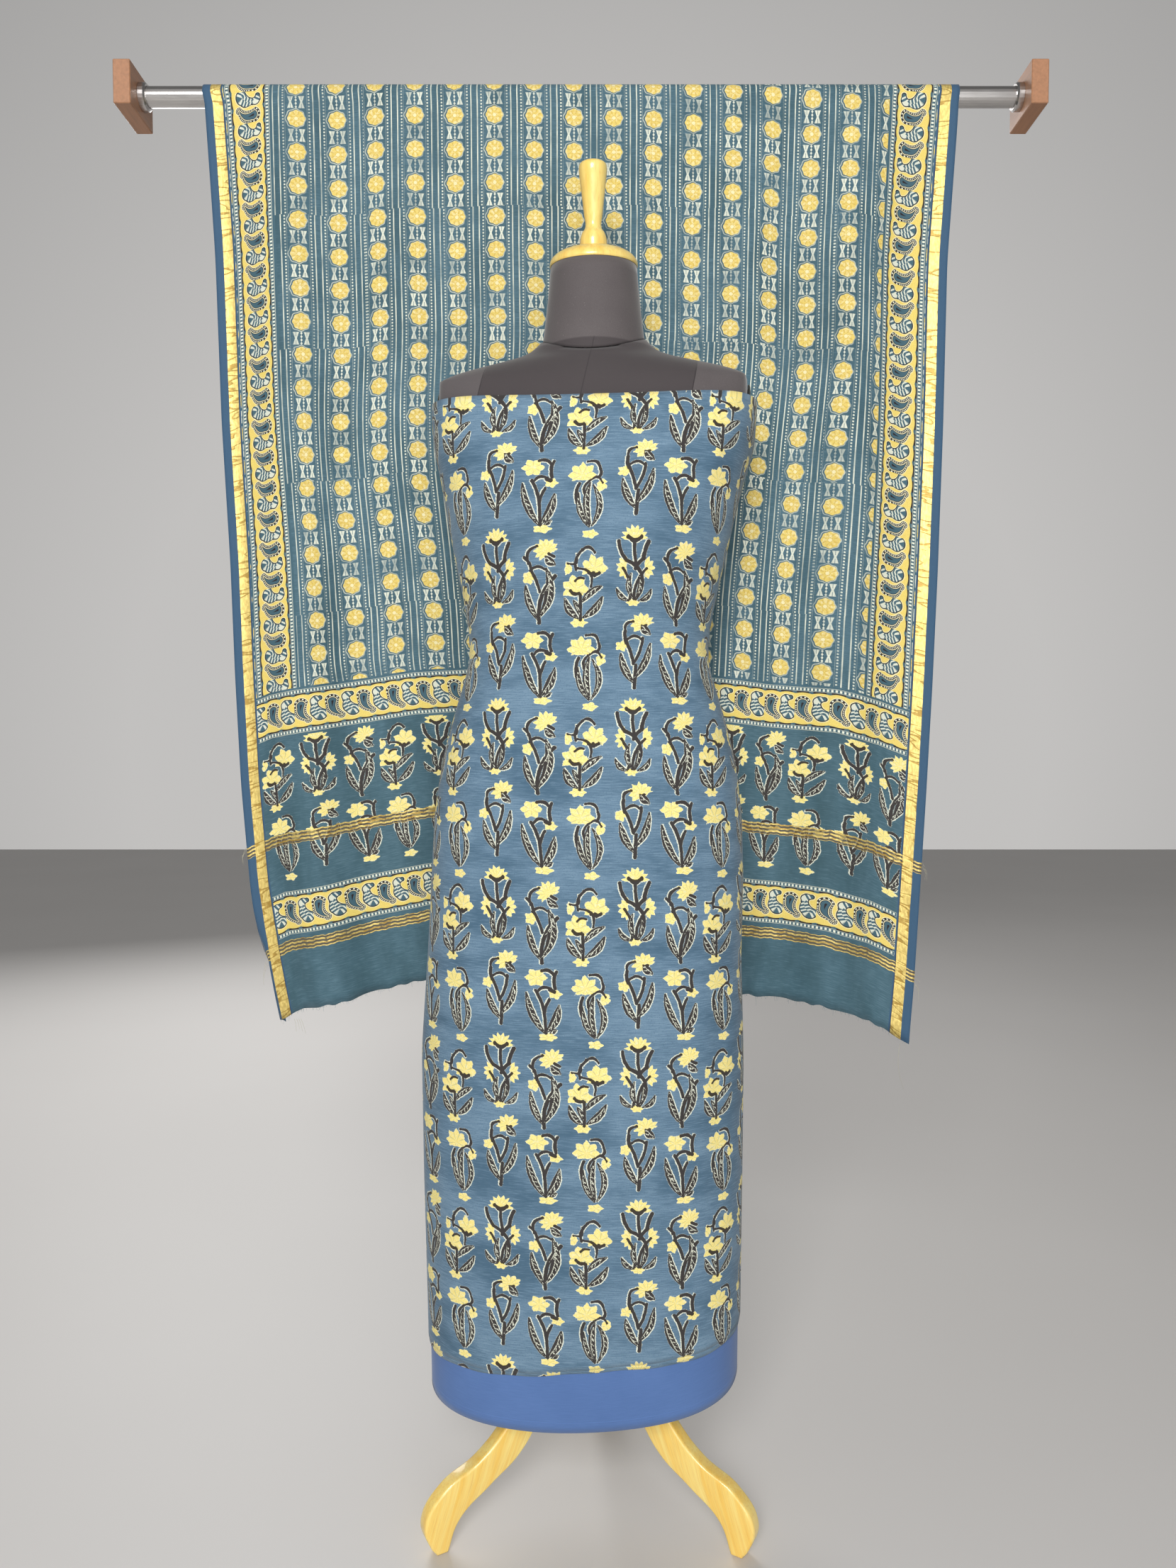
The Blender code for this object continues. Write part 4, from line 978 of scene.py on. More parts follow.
def cloudy_finish(name, dark, pale, scale, roughness):
    """A plain finish that wavers between two colours, as the threads' and the floor's."""
    finish = Finish(name)
    colour = finish.mix(dark, pale, finish.noise(finish.object_place(), scale, 2.0))
    return finish.surface(Base_Color=colour, Roughness=roughness)


def smooth_step(value):
    """0 below 0, 1 above 1 and an even S between."""
    value = np.clip(value, 0.0, 1.0)
    return value * value * (3.0 - 2.0 * value)


def table_column(table, key, column, at):
    """A column of a table read straight between its rows."""
    keys = [getattr(row, key) for row in table]
    values = [getattr(row, column) for row in table]
    return np.interp(at, keys, values)


def soft_column(table, key, column, at):
    """A column of a table read along a curve: the straight reading averaged over a window."""
    reach = 0.022
    offsets = np.linspace(-reach, reach, 9)
    weights = 1.0 - np.abs(offsets) / (reach * 1.15)
    readings = [weight * table_column(table, key, column, at + offset)
                for offset, weight in zip(offsets, weights)]
    return sum(readings) / weights.sum()


def superellipse(angle, half_width, front, back, roundness):
    """Points of a section with unlike halves; angle 0 is the front, a quarter turn is +X."""
    across = np.sin(angle)
    ahead = np.cos(angle)
    power = 2.0 / roundness
    depth = np.where(ahead > 0.0, front, back)
    x = half_width * np.sign(across) * np.abs(across) ** power
    y = -depth * np.sign(ahead) * np.abs(ahead) ** power
    return x, y


def even_angles(fraction):
    """Angles that divide a mid-size section into equal arcs, by fraction of a turn."""
    dense = np.linspace(0.0, 2.0 * math.pi, 1441)
    x, y = superellipse(dense, COLUMN_HALF_WIDTH, COLUMN_FRONT, COLUMN_BACK, COLUMN_ROUNDNESS)
    arc = np.concatenate(([0.0], np.cumsum(np.hypot(np.diff(x), np.diff(y)))))
    turns = np.floor(fraction)
    return np.interp(fraction - turns, arc / arc[-1], dense) + turns * 2.0 * math.pi


def wrap_points(fraction, height, outward):
    """Points of the wrapped sections on a grid, moved outward by a distance."""
    section = {name: soft_column(WRAP_SECTIONS, "height", name, height)
               for name in WrapSection._fields[1:]}
    angle = even_angles(fraction)
    x, y = superellipse(angle, section["half_width"] + outward, section["front"] + outward,
                        section["back"] + outward, section["roundness"])
    side = np.sign(x) * np.minimum(np.abs(x) / section["half_width"], 1.0) ** 2
    x = x + side * section["flare"] * y + section["shift"]
    return np.stack([x, y, height], axis=-1)


def place_on_form(points):
    """Turn points about the form's axis and carry them to its place."""
    cosine = math.cos(FORM_TURN)
    sine = math.sin(FORM_TURN)
    x = points[..., 0] * cosine - points[..., 1] * sine + FORM_X
    y = points[..., 0] * sine + points[..., 1] * cosine + FORM_Y
    return np.stack([x, y, points[..., 2]], axis=-1)


def placed(name, data):
    """A new object in the scene."""
    holder = bpy.data.objects.new(name, data)
    bpy.context.scene.collection.objects.link(holder)
    return holder


def add_piece(name, mesh, material, slot_name, nodes=()):
    """Link a mesh as a piece that rides on the part's one body."""
    piece = placed(name, mesh)
    mesh.materials.append(material)
    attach(piece, "root")
    if nodes:
        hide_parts(*nodes)
    return piece


def grid_mesh(name, points, uv=None):
    """A mesh of quads on a grid of points, rows by columns, with a UV map in metres."""
    rows, columns = points.shape[:2]
    index = np.arange(rows * columns).reshape(rows, columns)
    quads = np.stack([index[:-1, :-1], index[:-1, 1:], index[1:, 1:], index[1:, :-1]], axis=-1)
    quads = quads.reshape(-1, 4)
    mesh = bpy.data.meshes.new(name)
    mesh.vertices.add(rows * columns)
    mesh.vertices.foreach_set("co", points.reshape(-1).astype(np.float32))
    mesh.loops.add(quads.size)
    mesh.loops.foreach_set("vertex_index", quads.reshape(-1).astype(np.int32))
    mesh.polygons.add(len(quads))
    mesh.polygons.foreach_set("loop_start", np.arange(0, quads.size, 4, dtype=np.int32))
    mesh.update(calc_edges=True)
    if uv is not None:
        layer = mesh.uv_layers.new(name="cloth")
        spread = uv.reshape(-1, 2)[quads.reshape(-1)]
        layer.data.foreach_set("uv", spread.reshape(-1).astype(np.float32))
    mesh.shade_smooth()
    mesh.validate()
    return mesh


def give_wall(piece, thickness, offset=-1.0):
    """Give a sheet its thickness, inward unless the offset says otherwise."""
    wall = piece.modifiers.new("wall", "SOLIDIFY")
    wall.thickness = thickness
    wall.offset = offset
    wall.use_even_offset = False
    wall.use_rim = True


def mended(mesh, merge, place=None):
    """Merge a mesh's doubled points, turn its faces outward and put it in its place."""
    work = bmesh.new()
    work.from_mesh(mesh)
    bmesh.ops.remove_doubles(work, verts=work.verts, dist=merge)
    if place is not None:
        bmesh.ops.transform(work, matrix=place, verts=work.verts)
    bmesh.ops.recalc_face_normals(work, faces=work.faces)
    work.to_mesh(mesh)
    work.free()
    return mesh


def give_grain(mesh, points):
    """Store where each point lies in the wood, with the grain along the third axis."""
    grain = mesh.attributes.new("grain", "FLOAT_VECTOR", "POINT")
    grain.data.foreach_set("vector", points.reshape(-1).astype(np.float32))


def crease_field(across, up):
    """Outward move of the wrapped cloth: a sum of long soft ridges and a faint unevenness."""
    move = np.zeros_like(across)
    for crease in CREASES:
        angle = math.radians(crease.angle)
        right = across - crease.across
        above = up - crease.up
        along = right * math.cos(angle) + above * math.sin(angle)
        aside = above * math.cos(angle) - right * math.sin(angle)
        reach = np.exp(-(along / crease.half_length) ** 2 - (aside / crease.half_breadth) ** 2)
        move += CREASE_GAIN * crease.depth * reach
    waist = np.exp(-((up - 1.075) / 0.055) ** 2)
    move += 0.0005 * waist * np.sin(up * 330.0 + 3.0 * np.sin(across * 17.0))
    move += 0.0004 * np.sin(across * 41.0 + 2.0 * np.sin(up * 9.0)) * smooth_step((1.0 - up) / 0.3)
    return move


def lap_columns(lap_at, steps):
    """Fractions of a turn of a wrapped cloth's columns, with their place in broad columns."""
    fine = steps // WRAP_COLUMNS
    count = (WRAP_COLUMNS + LAP_COLUMNS) * fine + 1
    place = np.arange(count) / fine
    fraction = lap_at + (place - 0.5 * LAP_COLUMNS) / WRAP_COLUMNS
    return fraction, place


def lap_sink(place):
    """How far the inner end of a wrapped cloth lies under its outer end."""
    return (CAD_WALL + LAP_GAP) * (1.0 - smooth_step((place - LAP_COLUMNS) / RISE_COLUMNS))


def lap_hollow(fraction, lap_at):
    """How far a layer beneath gives way where the cloth above it laps."""
    columns = (fraction - lap_at) * WRAP_COLUMNS
    columns = (columns + 0.5 * WRAP_COLUMNS) % WRAP_COLUMNS - 0.5 * WRAP_COLUMNS
    edge = 0.5 * LAP_COLUMNS
    rise = smooth_step((columns + edge + RISE_COLUMNS) / RISE_COLUMNS)
    fall = smooth_step((columns - edge) / RISE_COLUMNS)
    return (CAD_WALL + LAP_GAP) * (rise - fall)


def across_cloth(points, fraction):
    """Distance round the cloth from the front's middle, along each row."""
    steps = np.hypot(np.diff(points[..., 0], axis=1), np.diff(points[..., 1], axis=1))
    arc = np.concatenate([np.zeros((len(points), 1)), np.cumsum(steps, axis=1)], axis=1)
    front = int(np.argmin(np.abs(fraction - 1.0)))
    return arc - arc[:, front:front + 1]


def down_front(height):
    """Distance down the front's middle line from the kameez's top edge."""
    levels = np.linspace(KAMEEZ_TOP - KAMEEZ_TOP_DIP, 0.13, 1200)
    front = soft_column(WRAP_SECTIONS, "height", "front", levels)
    run = np.concatenate(([0.0], np.cumsum(np.hypot(np.diff(levels), np.diff(front)))))
    return np.interp(-height, -levels, run)


def wrapped_cloth(name, fraction, hem, top, rows, under, level, finish):
    """A cloth wrapped round the form, from hem to top: a grid moved out by its creases.

    The finish is its material and a slot name, which is not used, and the level gives the UV map's
    second number, in metres.
    """
    share = np.linspace(0.0, 1.0, rows + 1)[:, None]
    height = hem + (top - hem) * share
    turns = np.broadcast_to(fraction, height.shape)
    across = across_cloth(wrap_points(turns, height, np.zeros_like(height)), fraction)
    points = place_on_form(wrap_points(turns, height, crease_field(across, height) - under))
    uv = np.stack([across, level(height)], axis=-1)
    return add_piece(name, grid_mesh(name, points, uv), *finish)


def make_kameez(material):
    """The printed length, with the doubled length's inner edge showing below its hem."""
    fraction, place = lap_columns(KAMEEZ_LAP_AT, KAMEEZ_STEPS)
    turn = 2.0 * math.pi * fraction
    hem = KAMEEZ_HEM + KAMEEZ_HEM_TILT * np.sin(turn) - KAMEEZ_HEM_DIP * np.cos(turn)
    hem = hem + 0.0006 * np.sin(fraction * 97.0) + 0.0012 * np.sin(fraction * 31.0 + 1.0)
    top = KAMEEZ_TOP - KAMEEZ_TOP_DIP * np.cos(2.0 * turn)
    finish = (material, "kameez_print")
    kameez = wrapped_cloth("kameez", fraction, hem, top, KAMEEZ_ROWS, lap_sink(place), down_front,
                           finish + (["kameez_cloth"],))
    give_wall(kameez, KAMEEZ_WALL)
    low = hem - INNER_HEM_DROP - 0.0015 * np.sin(fraction * 17.0 + 0.7)
    inner = wrapped_cloth("kameez_inner_hem", fraction, low, hem + INNER_HEM_RISE, INNER_HEM_ROWS,
                          lap_sink(place) + KAMEEZ_WALL + 0.0004, down_front, finish)
    give_wall(inner, INNER_HEM_WALL)


def make_salwar(material):
    """The plain length under the kameez; its hem rides up at the back."""
    fraction, place = lap_columns(SALWAR_LAP_AT, SALWAR_STEPS)
    turn = 2.0 * math.pi * fraction
    hem = SALWAR_HEM + SALWAR_HEM_TILT * np.sin(turn) - SALWAR_HEM_DIP * np.cos(turn)
    under = CAD_WALL + LAYER_GAP + lap_sink(place) + lap_hollow(fraction, KAMEEZ_LAP_AT)
    salwar = wrapped_cloth("salwar", fraction, hem, np.full_like(fraction, SALWAR_TOP),
                           SALWAR_ROWS, under, lambda height: height - hem,
                           (material, "salwar_plain", ["salwar_cloth"]))
    give_wall(salwar, SALWAR_WALL)


def lean_bell(x):
    """1 where the form's turned back presses most, falling evenly to 0 at the half width."""
    reach = np.clip(np.abs(x - LEAN_MIDDLE) / LEAN_HALF_WIDTH, 0.0, 1.0)
    return 0.5 + 0.5 * np.cos(math.pi * reach)


def fall_row(across, left, right, lean, deepest):
    """x and y of a level row of a fall: a bell of lean plus folds as deep as the width needs."""
    straight = left + across * (right - left)
    bell = lean_bell(straight)
    folds = sum(fold.share * np.sin(2.0 * math.pi * fold.count * across + fold.phase)
                for fold in FOLDS) * (1.0 - FOLD_CALM * bell)
    step = DUPATTA_WIDTH * np.diff(across)
    low = 0.0
    high = deepest
    for _ in range(FOLD_HALVINGS):
        deep = 0.5 * (low + high)
        y = lean * bell + deep * folds
        run = np.sqrt(np.maximum(step ** 2 - np.diff(y) ** 2, 0.0))
        if run.sum() > right - left:
            low = deep
        else:
            high = deep
    run *= (right - left) / run.sum()
    return left + np.concatenate(([0.0], np.cumsum(run))), y


def fall_rows(across, hem, row_count, lean_column, side, deepest):
    """Rows of a fall from its hem up to the rod."""
    rows = []
    for part in np.arange(row_count) / row_count:
        z = hem * (1.0 - part) + ROD_HEIGHT * part
        mean = float(z.mean())
        left = soft_column(FALL_EDGES, "height", "left", mean)
        right = soft_column(FALL_EDGES, "height", "right", mean)
        lean = soft_column(DUPATTA_LEAN, "height", lean_column, mean)
        x, y = fall_row(across, left, right, lean, deepest)
        rows.append(np.stack([x, FORM_Y + ROD_BACK + side * DUPATTA_TURN_RADIUS + y, z], axis=-1))
    return rows


def dupatta_grid():
    """Points of the whole dupatta from its front hem over the rod to its back hem, with UVs.

    The falls are level rows and the turn over the rod is half a circle. The UV's second number
    runs along the cloth, in front evenly from the hem to the bowed line below the rod. Its first
    is the share across times the width, but low in front it is the distance as seen, with the
    slack put behind the form, and the print slips to one side there.
    """
    across = np.linspace(0.0, 1.0, DUPATTA_STEPS + 1)
    front_hem = table_column(DUPATTA_HEM, "across", "height", across)
    drop = DUPATTA_LENGTH - math.pi * DUPATTA_TURN_RADIUS - (ROD_HEIGHT - front_hem)
    front = fall_rows(across, front_hem, DUPATTA_FRONT_ROWS, "front_fall", -1.0, FRONT_FOLD_MOST)
    back = fall_rows(across, ROD_HEIGHT - drop, DUPATTA_BACK_ROWS, "back_fall", 1.0, FOLD_MOST)
    turn = math.pi * np.arange(DUPATTA_TURN_ROWS + 1) / DUPATTA_TURN_ROWS
    x = FALL_EDGES[-1].left + across * (FALL_EDGES[-1].right - FALL_EDGES[-1].left)
    over = [np.stack([x, np.full_like(x, FORM_Y + ROD_BACK - DUPATTA_TURN_RADIUS * math.cos(at)),
                      np.full_like(x, ROD_HEIGHT + DUPATTA_TURN_RADIUS * math.sin(at))], axis=-1)
            for at in turn]
    top = PRINT_DROP - PRINT_BOW * 4.0 * across * (1.0 - across)
    arc = math.pi * DUPATTA_TURN_RADIUS
    along = [top * row / DUPATTA_FRONT_ROWS for row in range(DUPATTA_FRONT_ROWS)]
    along += [top + arc * step / DUPATTA_TURN_ROWS for step in range(DUPATTA_TURN_ROWS + 1)]
    rest = DUPATTA_LENGTH - top - arc
    along += [top + arc + rest * row / DUPATTA_BACK_ROWS
              for row in range(1, DUPATTA_BACK_ROWS + 1)]
    points = np.array(front + over + back[::-1])
    run = points[:, :, 0] - points[:, :1, 0]
    width = run[:, -1:]
    hidden = smooth_step((run / width - 0.34) / 0.32)
    seen = run + (DUPATTA_WIDTH - width) * hidden
    height = points[:, :, 2]
    low = smooth_step((1.45 - height) / 0.35)
    low[DUPATTA_FRONT_ROWS:] = 0.0
    printed = across * DUPATTA_WIDTH * (1.0 - low) + seen * low
    slip = smooth_step((1.52 - height) / 0.2)
    slip *= 1.0 - smooth_step((1.08 - height) / 0.1) * (1.0 - hidden)
    slip *= smooth_step((np.minimum(across, 1.0 - across) * DUPATTA_WIDTH - 0.085) / 0.08)
    slip[DUPATTA_FRONT_ROWS:] = 0.0
    printed = printed + PRINT_SLIP * slip
    return points, np.stack([printed, np.array(along)], axis=-1)


def tug_edges(points, uv):
    """Small puckers along the gold edge, an uneven raw hem, a curled corner and a soft crease.

    Puckers and hem are sines. The lower end of the left selvedge turns behind about a column of
    the grid, and the crease below the rod is a leaning bell.
    """
    across = np.linspace(0.0, DUPATTA_WIDTH, points.shape[1])[None, :]
    along = uv[..., 1]
    edge = np.minimum(across, DUPATTA_WIDTH - across)
    band = np.exp(-((edge - 0.017) / 0.008) ** 2)
    fall = np.where(along < PRINT_DROP, -1.0, 1.0)
    slack = smooth_step((PRINT_DROP - 0.04 - along) / 0.1) + smooth_step((along - 1.35) / 0.1)
    pucker = np.sin(along * 292.0 + 3.0 * np.sin(along * 37.0)) * PUCKER
    points[..., 1] += fall * band * pucker * slack
    hem = smooth_step((0.03 - along) / 0.03)
    points[..., 2] += hem * 0.0011 * np.sin(across * 173.0 + 2.0 * np.sin(across * 61.0))
    points[..., 1] += hem * 0.0016 * np.sin(across * 88.0 + 1.0)
    curl = smooth_step((CURL_HEIGHT - along) / 0.13) * 2.5
    pivot = points[:, SELVEDGE_COLUMN:SELVEDGE_COLUMN + 1].copy()
    arm = pivot[:, :, 0] - points[..., 0]
    turned = (np.arange(points.shape[1]) < SELVEDGE_COLUMN)[None, :] & (along < CURL_HEIGHT)
    points[..., 1] = np.where(turned, pivot[..., 1] + arm * np.sin(curl) + 0.0007 * curl,
                              points[..., 1])
    points[..., 0] = np.where(turned, pivot[..., 0] - arm * np.cos(curl), points[..., 0])
    beside = points[..., 0] - ROD_CREASE_X
    above = points[..., 2] - ROD_CREASE_HEIGHT
    ridge = np.exp(-((beside * 0.95 - above * 0.31) / 0.010) ** 2
                   - ((beside * 0.31 + above * 0.95) / 0.12) ** 2)
    points[..., 1] -= np.where(along < PRINT_DROP, ridge * 0.0025, 0.0)
    return points


def strands(name, threads, radius, material):
    """Fine threads: three-sided tubes, each along a parabola from its root to its tip.

    A row of threads holds a root, a tip and how far the middle of the parabola sags.
    """
    roots, tips, sags = np.moveaxis(np.array(threads), 1, 0)
    part = np.linspace(0.0, 1.0, STRAND_SECTIONS)[None, :, None]
    path = roots[:, None] + (tips - roots)[:, None] * part + sags[:, None] * 4.0 * part * (1 - part)
    around = 2.0 * math.pi * np.arange(3) / 3.0
    thin = radius * (1.0 - 0.5 * part)
    ring = np.stack([np.cos(around), np.sin(around), 0.3 * np.cos(around + 1.0)], axis=-1)
    points = path[:, :, None, :] + thin[..., None] * ring[None, None]
    index = np.arange(len(roots) * STRAND_SECTIONS * 3).reshape(-1, STRAND_SECTIONS, 3)
    turned = np.roll(index, -1, axis=2)
    sides = np.stack([index[:, :-1], turned[:, :-1], turned[:, 1:], index[:, 1:]], axis=-1)
    faces = sides.reshape(-1, 4).tolist() + index[:, 0, ::-1].tolist() + index[:, -1].tolist()
    mesh = bpy.data.meshes.new(name)
    mesh.from_pydata(points.reshape(-1, 3).tolist(), [], faces)
    mesh.shade_smooth()
    return add_piece(name, mesh, material, "dupatta_print")


def make_dupatta(material, thread, pale_thread):
    """The dupatta with its raw hems' threads and the loose ends of the woven bands."""
    points, uv = dupatta_grid()
    points = tug_edges(points, uv)
    cloth = add_piece("dupatta_cloth", grid_mesh("dupatta_cloth", points, uv), material,
                      "dupatta_print", ["dupatta"])
    give_wall(cloth, DUPATTA_WALL, 0.0)

    rng = np.random.default_rng(THREAD_SEED)
    for name, row in (("front_hem_threads", 0), ("back_hem_threads", -1)):
        line = points[row]
        at = np.sort(rng.uniform(0.002, 0.998, HEM_THREADS)) * (len(line) - 1)
        root = np.stack([np.interp(at, np.arange(len(line)), line[:, axis]) for axis in range(3)],
                        axis=-1)
        root[:, 2] += 0.0006
        long = rng.gamma(2.0, 0.0011, len(at))
        tip = root + np.stack([rng.normal(0.0, 0.0012, len(at)), rng.normal(0.0, 0.0006, len(at)),
                               -0.0010 - long], axis=-1)
        sag = rng.normal(0.0, 0.0004, (len(at), 3))
        strands(name, np.stack([root, tip, sag], axis=1), THREAD_RADIUS, thread)

    tails = []
    for side, out in ((0, -1.0), (-1, 1.0)):
        for band in ZARI_BANDS:
            anchor = points[int(np.argmin(np.abs(uv[:, 0, 1] - band / 1000.0))), side]
            for offset in (-0.004, 0.0, 0.004):
                reach = rng.uniform(0.004, 0.008)
                drop = offset - rng.uniform(0.004, 0.030)
                tails.append((anchor + np.array([-out * 0.0005, 0.0, offset]),
                              anchor + np.array([out * reach, 0.0, drop]),
                              np.array([out * 0.003, -0.0005, 0.0])))
    for spread in (-0.003, 0.0, 0.003, 0.006):
        tails.append((points[0, 0] + np.array([0.014 + spread, 0.0, 0.004]),
                      points[0, 0] + np.array([0.018 + spread * 1.4, -0.001, -0.010 - abs(spread)]),
                      np.array([0.001, -0.001, 0.0])))
    tails.append((points[0, -1] + np.array([-0.012, 0.0, 0.001]),
                  points[0, -1] + np.array([-0.007, -0.002, -0.060]),
                  np.array([-0.005, -0.001, 0.0])))
    strands("woven_band_tails", tails, TAIL_RADIUS, pale_thread)


def smooth_cover(name, node, material):
    """The form's covered body or neck: its solid with merged points, subdivided twice."""
    mesh = bpy.data.objects[node].data.copy()
    mesh.name = name
    mesh.materials.clear()
    work = bmesh.new()
    work.from_mesh(mesh)
    bmesh.ops.remove_doubles(work, verts=work.verts, dist=0.00002)
    bmesh.ops.join_triangles(work, faces=work.faces, angle_face_threshold=math.radians(12.0),
                             angle_shape_threshold=math.radians(40.0))
    layer = work.edges.layers.float.new("crease_edge")
    for edge in work.edges:
        if len(edge.link_faces) == 2 and edge.calc_face_angle() > math.radians(38.0):
            edge[layer] = 1.0
    work.to_mesh(mesh)
    work.free()
    mesh.shade_smooth()
    finer = add_piece(name, mesh, material, "form_cover", [node]).modifiers.new("finer", "SUBSURF")
    finer.levels = 2
    finer.render_levels = 2


def turned_piece(name, profile, steps, place, material, nodes):
    """A lathe-turned piece: its profile's radius and height carried round the axis.

    The profile is read top to bottom. The place is a matrix that is put into the mesh, and the
    grain attribute keeps the point before that, so the grain runs along the axis.
    """
    profile = np.array(profile, dtype=float)[::-1]
    angle = 2.0 * math.pi * np.arange(steps + 1) / steps
    radius = profile[:, :1]
    points = np.stack([radius * np.cos(angle), radius * np.sin(angle),
                       np.broadcast_to(profile[:, 1:], (len(profile), steps + 1))], axis=-1)
    mesh = grid_mesh(name, points)
    give_grain(mesh, points)
    mended(mesh, 0.000005, place)
    mesh.shade_smooth()
    mesh.set_sharp_from_angle(angle=math.radians(40.0))
    add_piece(name, mesh, material, "varnished_wood", nodes)


def soft_profile(points, steps):
    """A profile with more rows: a curve through its points by averaged slopes."""
    points = np.array(points, dtype=float)
    run = np.concatenate(([0.0], np.cumsum(np.hypot(*np.diff(points, axis=0).T))))
    slope = np.gradient(points, run, axis=0)
    at = np.linspace(0.0, run[-1], steps)
    span = np.clip(np.searchsorted(run, at, side="right") - 1, 0, len(run) - 2)
    width = (run[span + 1] - run[span])[:, None]
    part = ((at - run[span])[:, None]) / width
    start = points[span] * (2 * part ** 3 - 3 * part ** 2 + 1)
    finish = points[span + 1] * (-2 * part ** 3 + 3 * part ** 2)
    leave = slope[span] * width * (part ** 3 - 2 * part ** 2 + part)
    arrive = slope[span + 1] * width * (part ** 3 - part ** 2)
    return start + finish + leave + arrive


def neck_matrix(lift):
    """Place of a turned piece on the neck's forward-leaning axis."""
    seat = place_on_form(np.array([NECK_SHIFT, 0.0, NECK_TOP]))
    return (Matrix.Translation(seat) @ Matrix.Rotation(FORM_TURN, 4, "Z")
            @ Matrix.Rotation(NECK_TILT, 4, "X") @ Matrix.Translation((0.0, 0.0, lift)))


def make_top(material):
    """The dome on the neck and its turned handle."""
    angle = np.linspace(0.0, 0.5 * math.pi, 14)
    radius = CAP_SEAT_RADIUS + (CAP_RADIUS - CAP_SEAT_RADIUS) * np.sin(angle)
    height = CAP_RIM + (CAP_HEIGHT - CAP_RIM) * np.cos(angle)
    dome = [(0.0, CAP_HEIGHT)] + list(zip(radius, height))
    dome += [(CAP_RADIUS, CAP_RIM * 0.6), (CAP_RADIUS - 0.0008, 0.0), (0.0, 0.0)]
    turned_piece("cap_dome", dome, 72, neck_matrix(SEAT_GAP), material, ["neck_cap"])
    handle = list(map(tuple, soft_profile(FINIAL_PROFILE[:-1], 64))) + [FINIAL_PROFILE[-1]]
    handle[0] = (0.0, handle[0][1])
    turned_piece("finial_handle", handle, 48, neck_matrix(CAP_HEIGHT + 2.0 * SEAT_GAP), material,
                 ["finial"])


def round_bar(radius, bottom, top, edge):
    """Profile of a round bar or disc with eased edges."""
    return [(0.0, top), (radius - edge, top), (radius - 0.3 * edge, top - 0.3 * edge),
            (radius, top - edge), (radius, bottom + edge),
            (radius - 0.3 * edge, bottom + 0.3 * edge), (radius - edge, bottom), (0.0, bottom)]


def make_stand(material):
    """The disc, post and hub under the body, and the three curved legs."""
    place = Matrix.Translation((FORM_X, FORM_Y, 0.0))
    disc_top = TORSO_BOTTOM - SEAT_GAP
    disc_bottom = disc_top - DISC_THICKNESS
    for name, node, radius, bottom, top, edge in (
            ("stand_disc", "base_disc", DISC_RADIUS, disc_bottom, disc_top, 0.002),
            ("stand_post", "post", POST_RADIUS, HUB_TOP + SEAT_GAP, disc_bottom - SEAT_GAP, 0.0008),
            ("stand_hub", "hub", HUB_RADIUS, HUB_BOTTOM, HUB_TOP, 0.003)):
        turned_piece(name, round_bar(radius, bottom, top, edge), 64, place, material, [node])
    for name, direction in LEG_DIRECTIONS.items():
        make_leg(name, direction, material)


def make_leg(node, direction, material):
    """A curved board that stands upright and points away from the post.

    A flat closed curve through the outline is given its thickness with rounded edges. The grain
    attribute is the curve's own plane turned so that its third axis runs down the leg.
    """
    curve = bpy.data.curves.new(node + "_board", "CURVE")
    curve.dimensions = "2D"
    curve.fill_mode = "BOTH"
    curve.resolution_u = 10
    curve.render_resolution_u = 10
    curve.extrude = 0.5 * LEG_THICKNESS - LEG_ROUNDING
    curve.bevel_depth = LEG_ROUNDING
    curve.bevel_resolution = 4
    curve.offset = -LEG_ROUNDING
    spline = curve.splines.new("BEZIER")
    spline.bezier_points.add(len(LEG_OUTLINE) - 1)
    for knot, point in zip(spline.bezier_points, LEG_OUTLINE):
        knot.co = (point.out, point.height, 0.0)
        handle = "VECTOR" if point.sharp else "AUTO"
        knot.handle_left_type = handle
        knot.handle_right_type = handle
    spline.use_cyclic_u = True
    holder = placed(node + "_board", curve)
    depsgraph = bpy.context.evaluated_depsgraph_get()
    mesh = bpy.data.meshes.new_from_object(holder.evaluated_get(depsgraph))
    bpy.data.objects.remove(holder, do_unlink=True)
    mended(mesh, 0.00001)
    flat = np.empty(len(mesh.vertices) * 3, dtype=np.float32)
    mesh.vertices.foreach_get("co", flat)
    flat = flat.reshape(-1, 3)
    slope = math.radians(-52.0)
    down = flat[:, 0] * math.cos(slope) + flat[:, 1] * math.sin(slope)
    aside = flat[:, 1] * math.cos(slope) - flat[:, 0] * math.sin(slope)
    give_grain(mesh, np.stack([aside + 3.0 * flat[:, 0] ** 2, flat[:, 2] + direction, down],
                              axis=-1))
    upright = Matrix.Rotation(math.radians(90.0), 4, "X")
    around = Matrix.Rotation(math.radians(direction), 4, "Z")
    mesh.transform(Matrix.Translation((FORM_X, FORM_Y, 0.0)) @ around @ upright)
    mesh.shade_smooth()
    mesh.set_sharp_from_angle(angle=math.radians(35.0))
    mesh.materials.clear()
    add_piece(node + "_board", mesh, material, "varnished_wood", [node])


def dress_node(node, material):
    """Give a node of the frame its finish."""
    mesh = bpy.data.objects[node].data
    mesh.materials.clear()
    mesh.materials.append(material)


def make_camera():
    """The photograph's view: a level camera tipped down by its pitch."""
    camera = bpy.data.cameras.new("photo_view")
    camera.sensor_fit = "VERTICAL"
    camera.sensor_height = LONG_SIDE
    camera.lens = FOCAL_PIXELS / IMAGE_HEIGHT * LONG_SIDE
    holder = placed("photo_view", camera)
    holder.location = CAMERA_PLACE
    holder.rotation_euler = (math.radians(90.0) + CAMERA_PITCH, 0.0, 0.0)
    bpy.context.scene.camera = holder


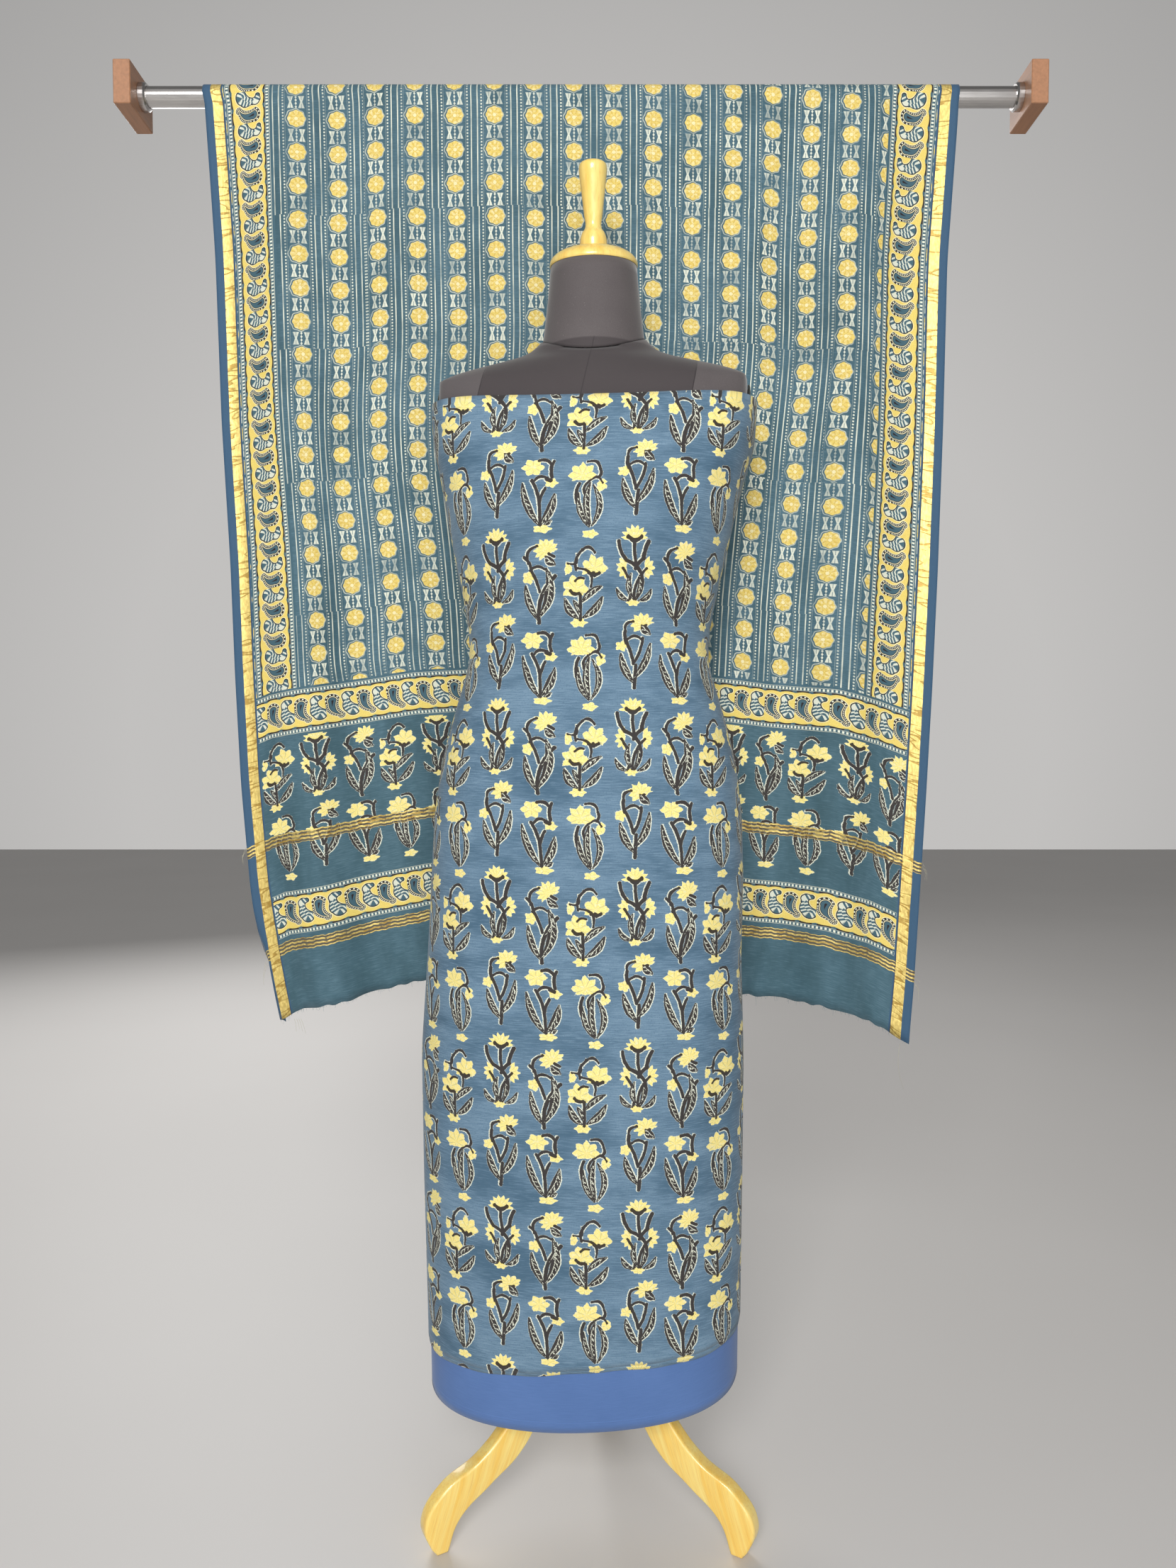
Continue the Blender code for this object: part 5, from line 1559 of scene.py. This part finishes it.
def soft_light(name, place, aim, size, power):
    """A square soft light that faces a point."""
    light = bpy.data.lights.new(name, "AREA")
    light.size = size
    light.energy = power
    holder = placed(name, light)
    holder.location = place
    heading = Vector(aim) - Vector(place)
    holder.rotation_euler = heading.to_track_quat("-Z", "Y").to_euler()


def make_studio():
    """A plain pale floor, soft lights and a pale room that is darker to the sides."""
    size = 8.0
    corners = np.array([[[-size, -size, -0.001], [size, -size, -0.001]],
                        [[-size, size, -0.001], [size, size, -0.001]]])
    floor = placed("studio_floor", grid_mesh("studio_floor", corners))
    floor.data.materials.append(cloudy_finish("studio_floor", (0.62, 0.60, 0.58),
                                              (0.67, 0.65, 0.63), 1.2, 0.55))
    soft_light("key", (-0.4, -3.6, 2.5), (0.0, 0.0, 1.0), 1.5, 112.0)
    soft_light("fill", (0.5, -3.4, 0.7), (0.0, 0.0, 0.5), 1.2, 20.0)
    soft_light("back_fill", (-1.4, 3.0, 2.4), (0.0, 0.0, 1.0), 2.0, 70.0)
    world = bpy.data.worlds.new("studio_room")
    room = Finish("studio_room", world)
    facing = room.split(room.node("ShaderNodeTexCoord", output="Generated")).other("Y")
    room.surface(Color=room.mix((0.13, 0.13, 0.13), (0.54, 0.53, 0.52),
                                (facing * facing - 0.5).step(0.7)))
    bpy.context.scene.world = world
    bpy.context.scene.view_settings.view_transform = "Standard"


make_camera()
cover = cover_finish()
smooth_cover("torso_cover", "form_torso", cover)
smooth_cover("neck_cover", "form_neck", cover)
make_salwar(salwar_finish())
make_kameez(kameez_finish())
teal_thread, pale_thread = [
    cloudy_finish(name, [0.6 * part for part in colour], colour, 700.0, 0.8)
    for name, colour in (("teal_thread", (0.16, 0.30, 0.36)), ("pale_thread", (0.72, 0.68, 0.50)))]
make_dupatta(dupatta_finish(), teal_thread, pale_thread)
wood = wood_finish()
make_top(wood)
make_stand(wood)
steel = steel_finish()
laminate = bracket_finish()
plate = plate_finish()
dress_node("rod", steel)
for side in ("left", "right"):
    dress_node(f"flange_{side}", steel)
    dress_node(f"bracket_{side}", laminate)
    dress_node(f"arm_plate_{side}", plate)
make_studio()
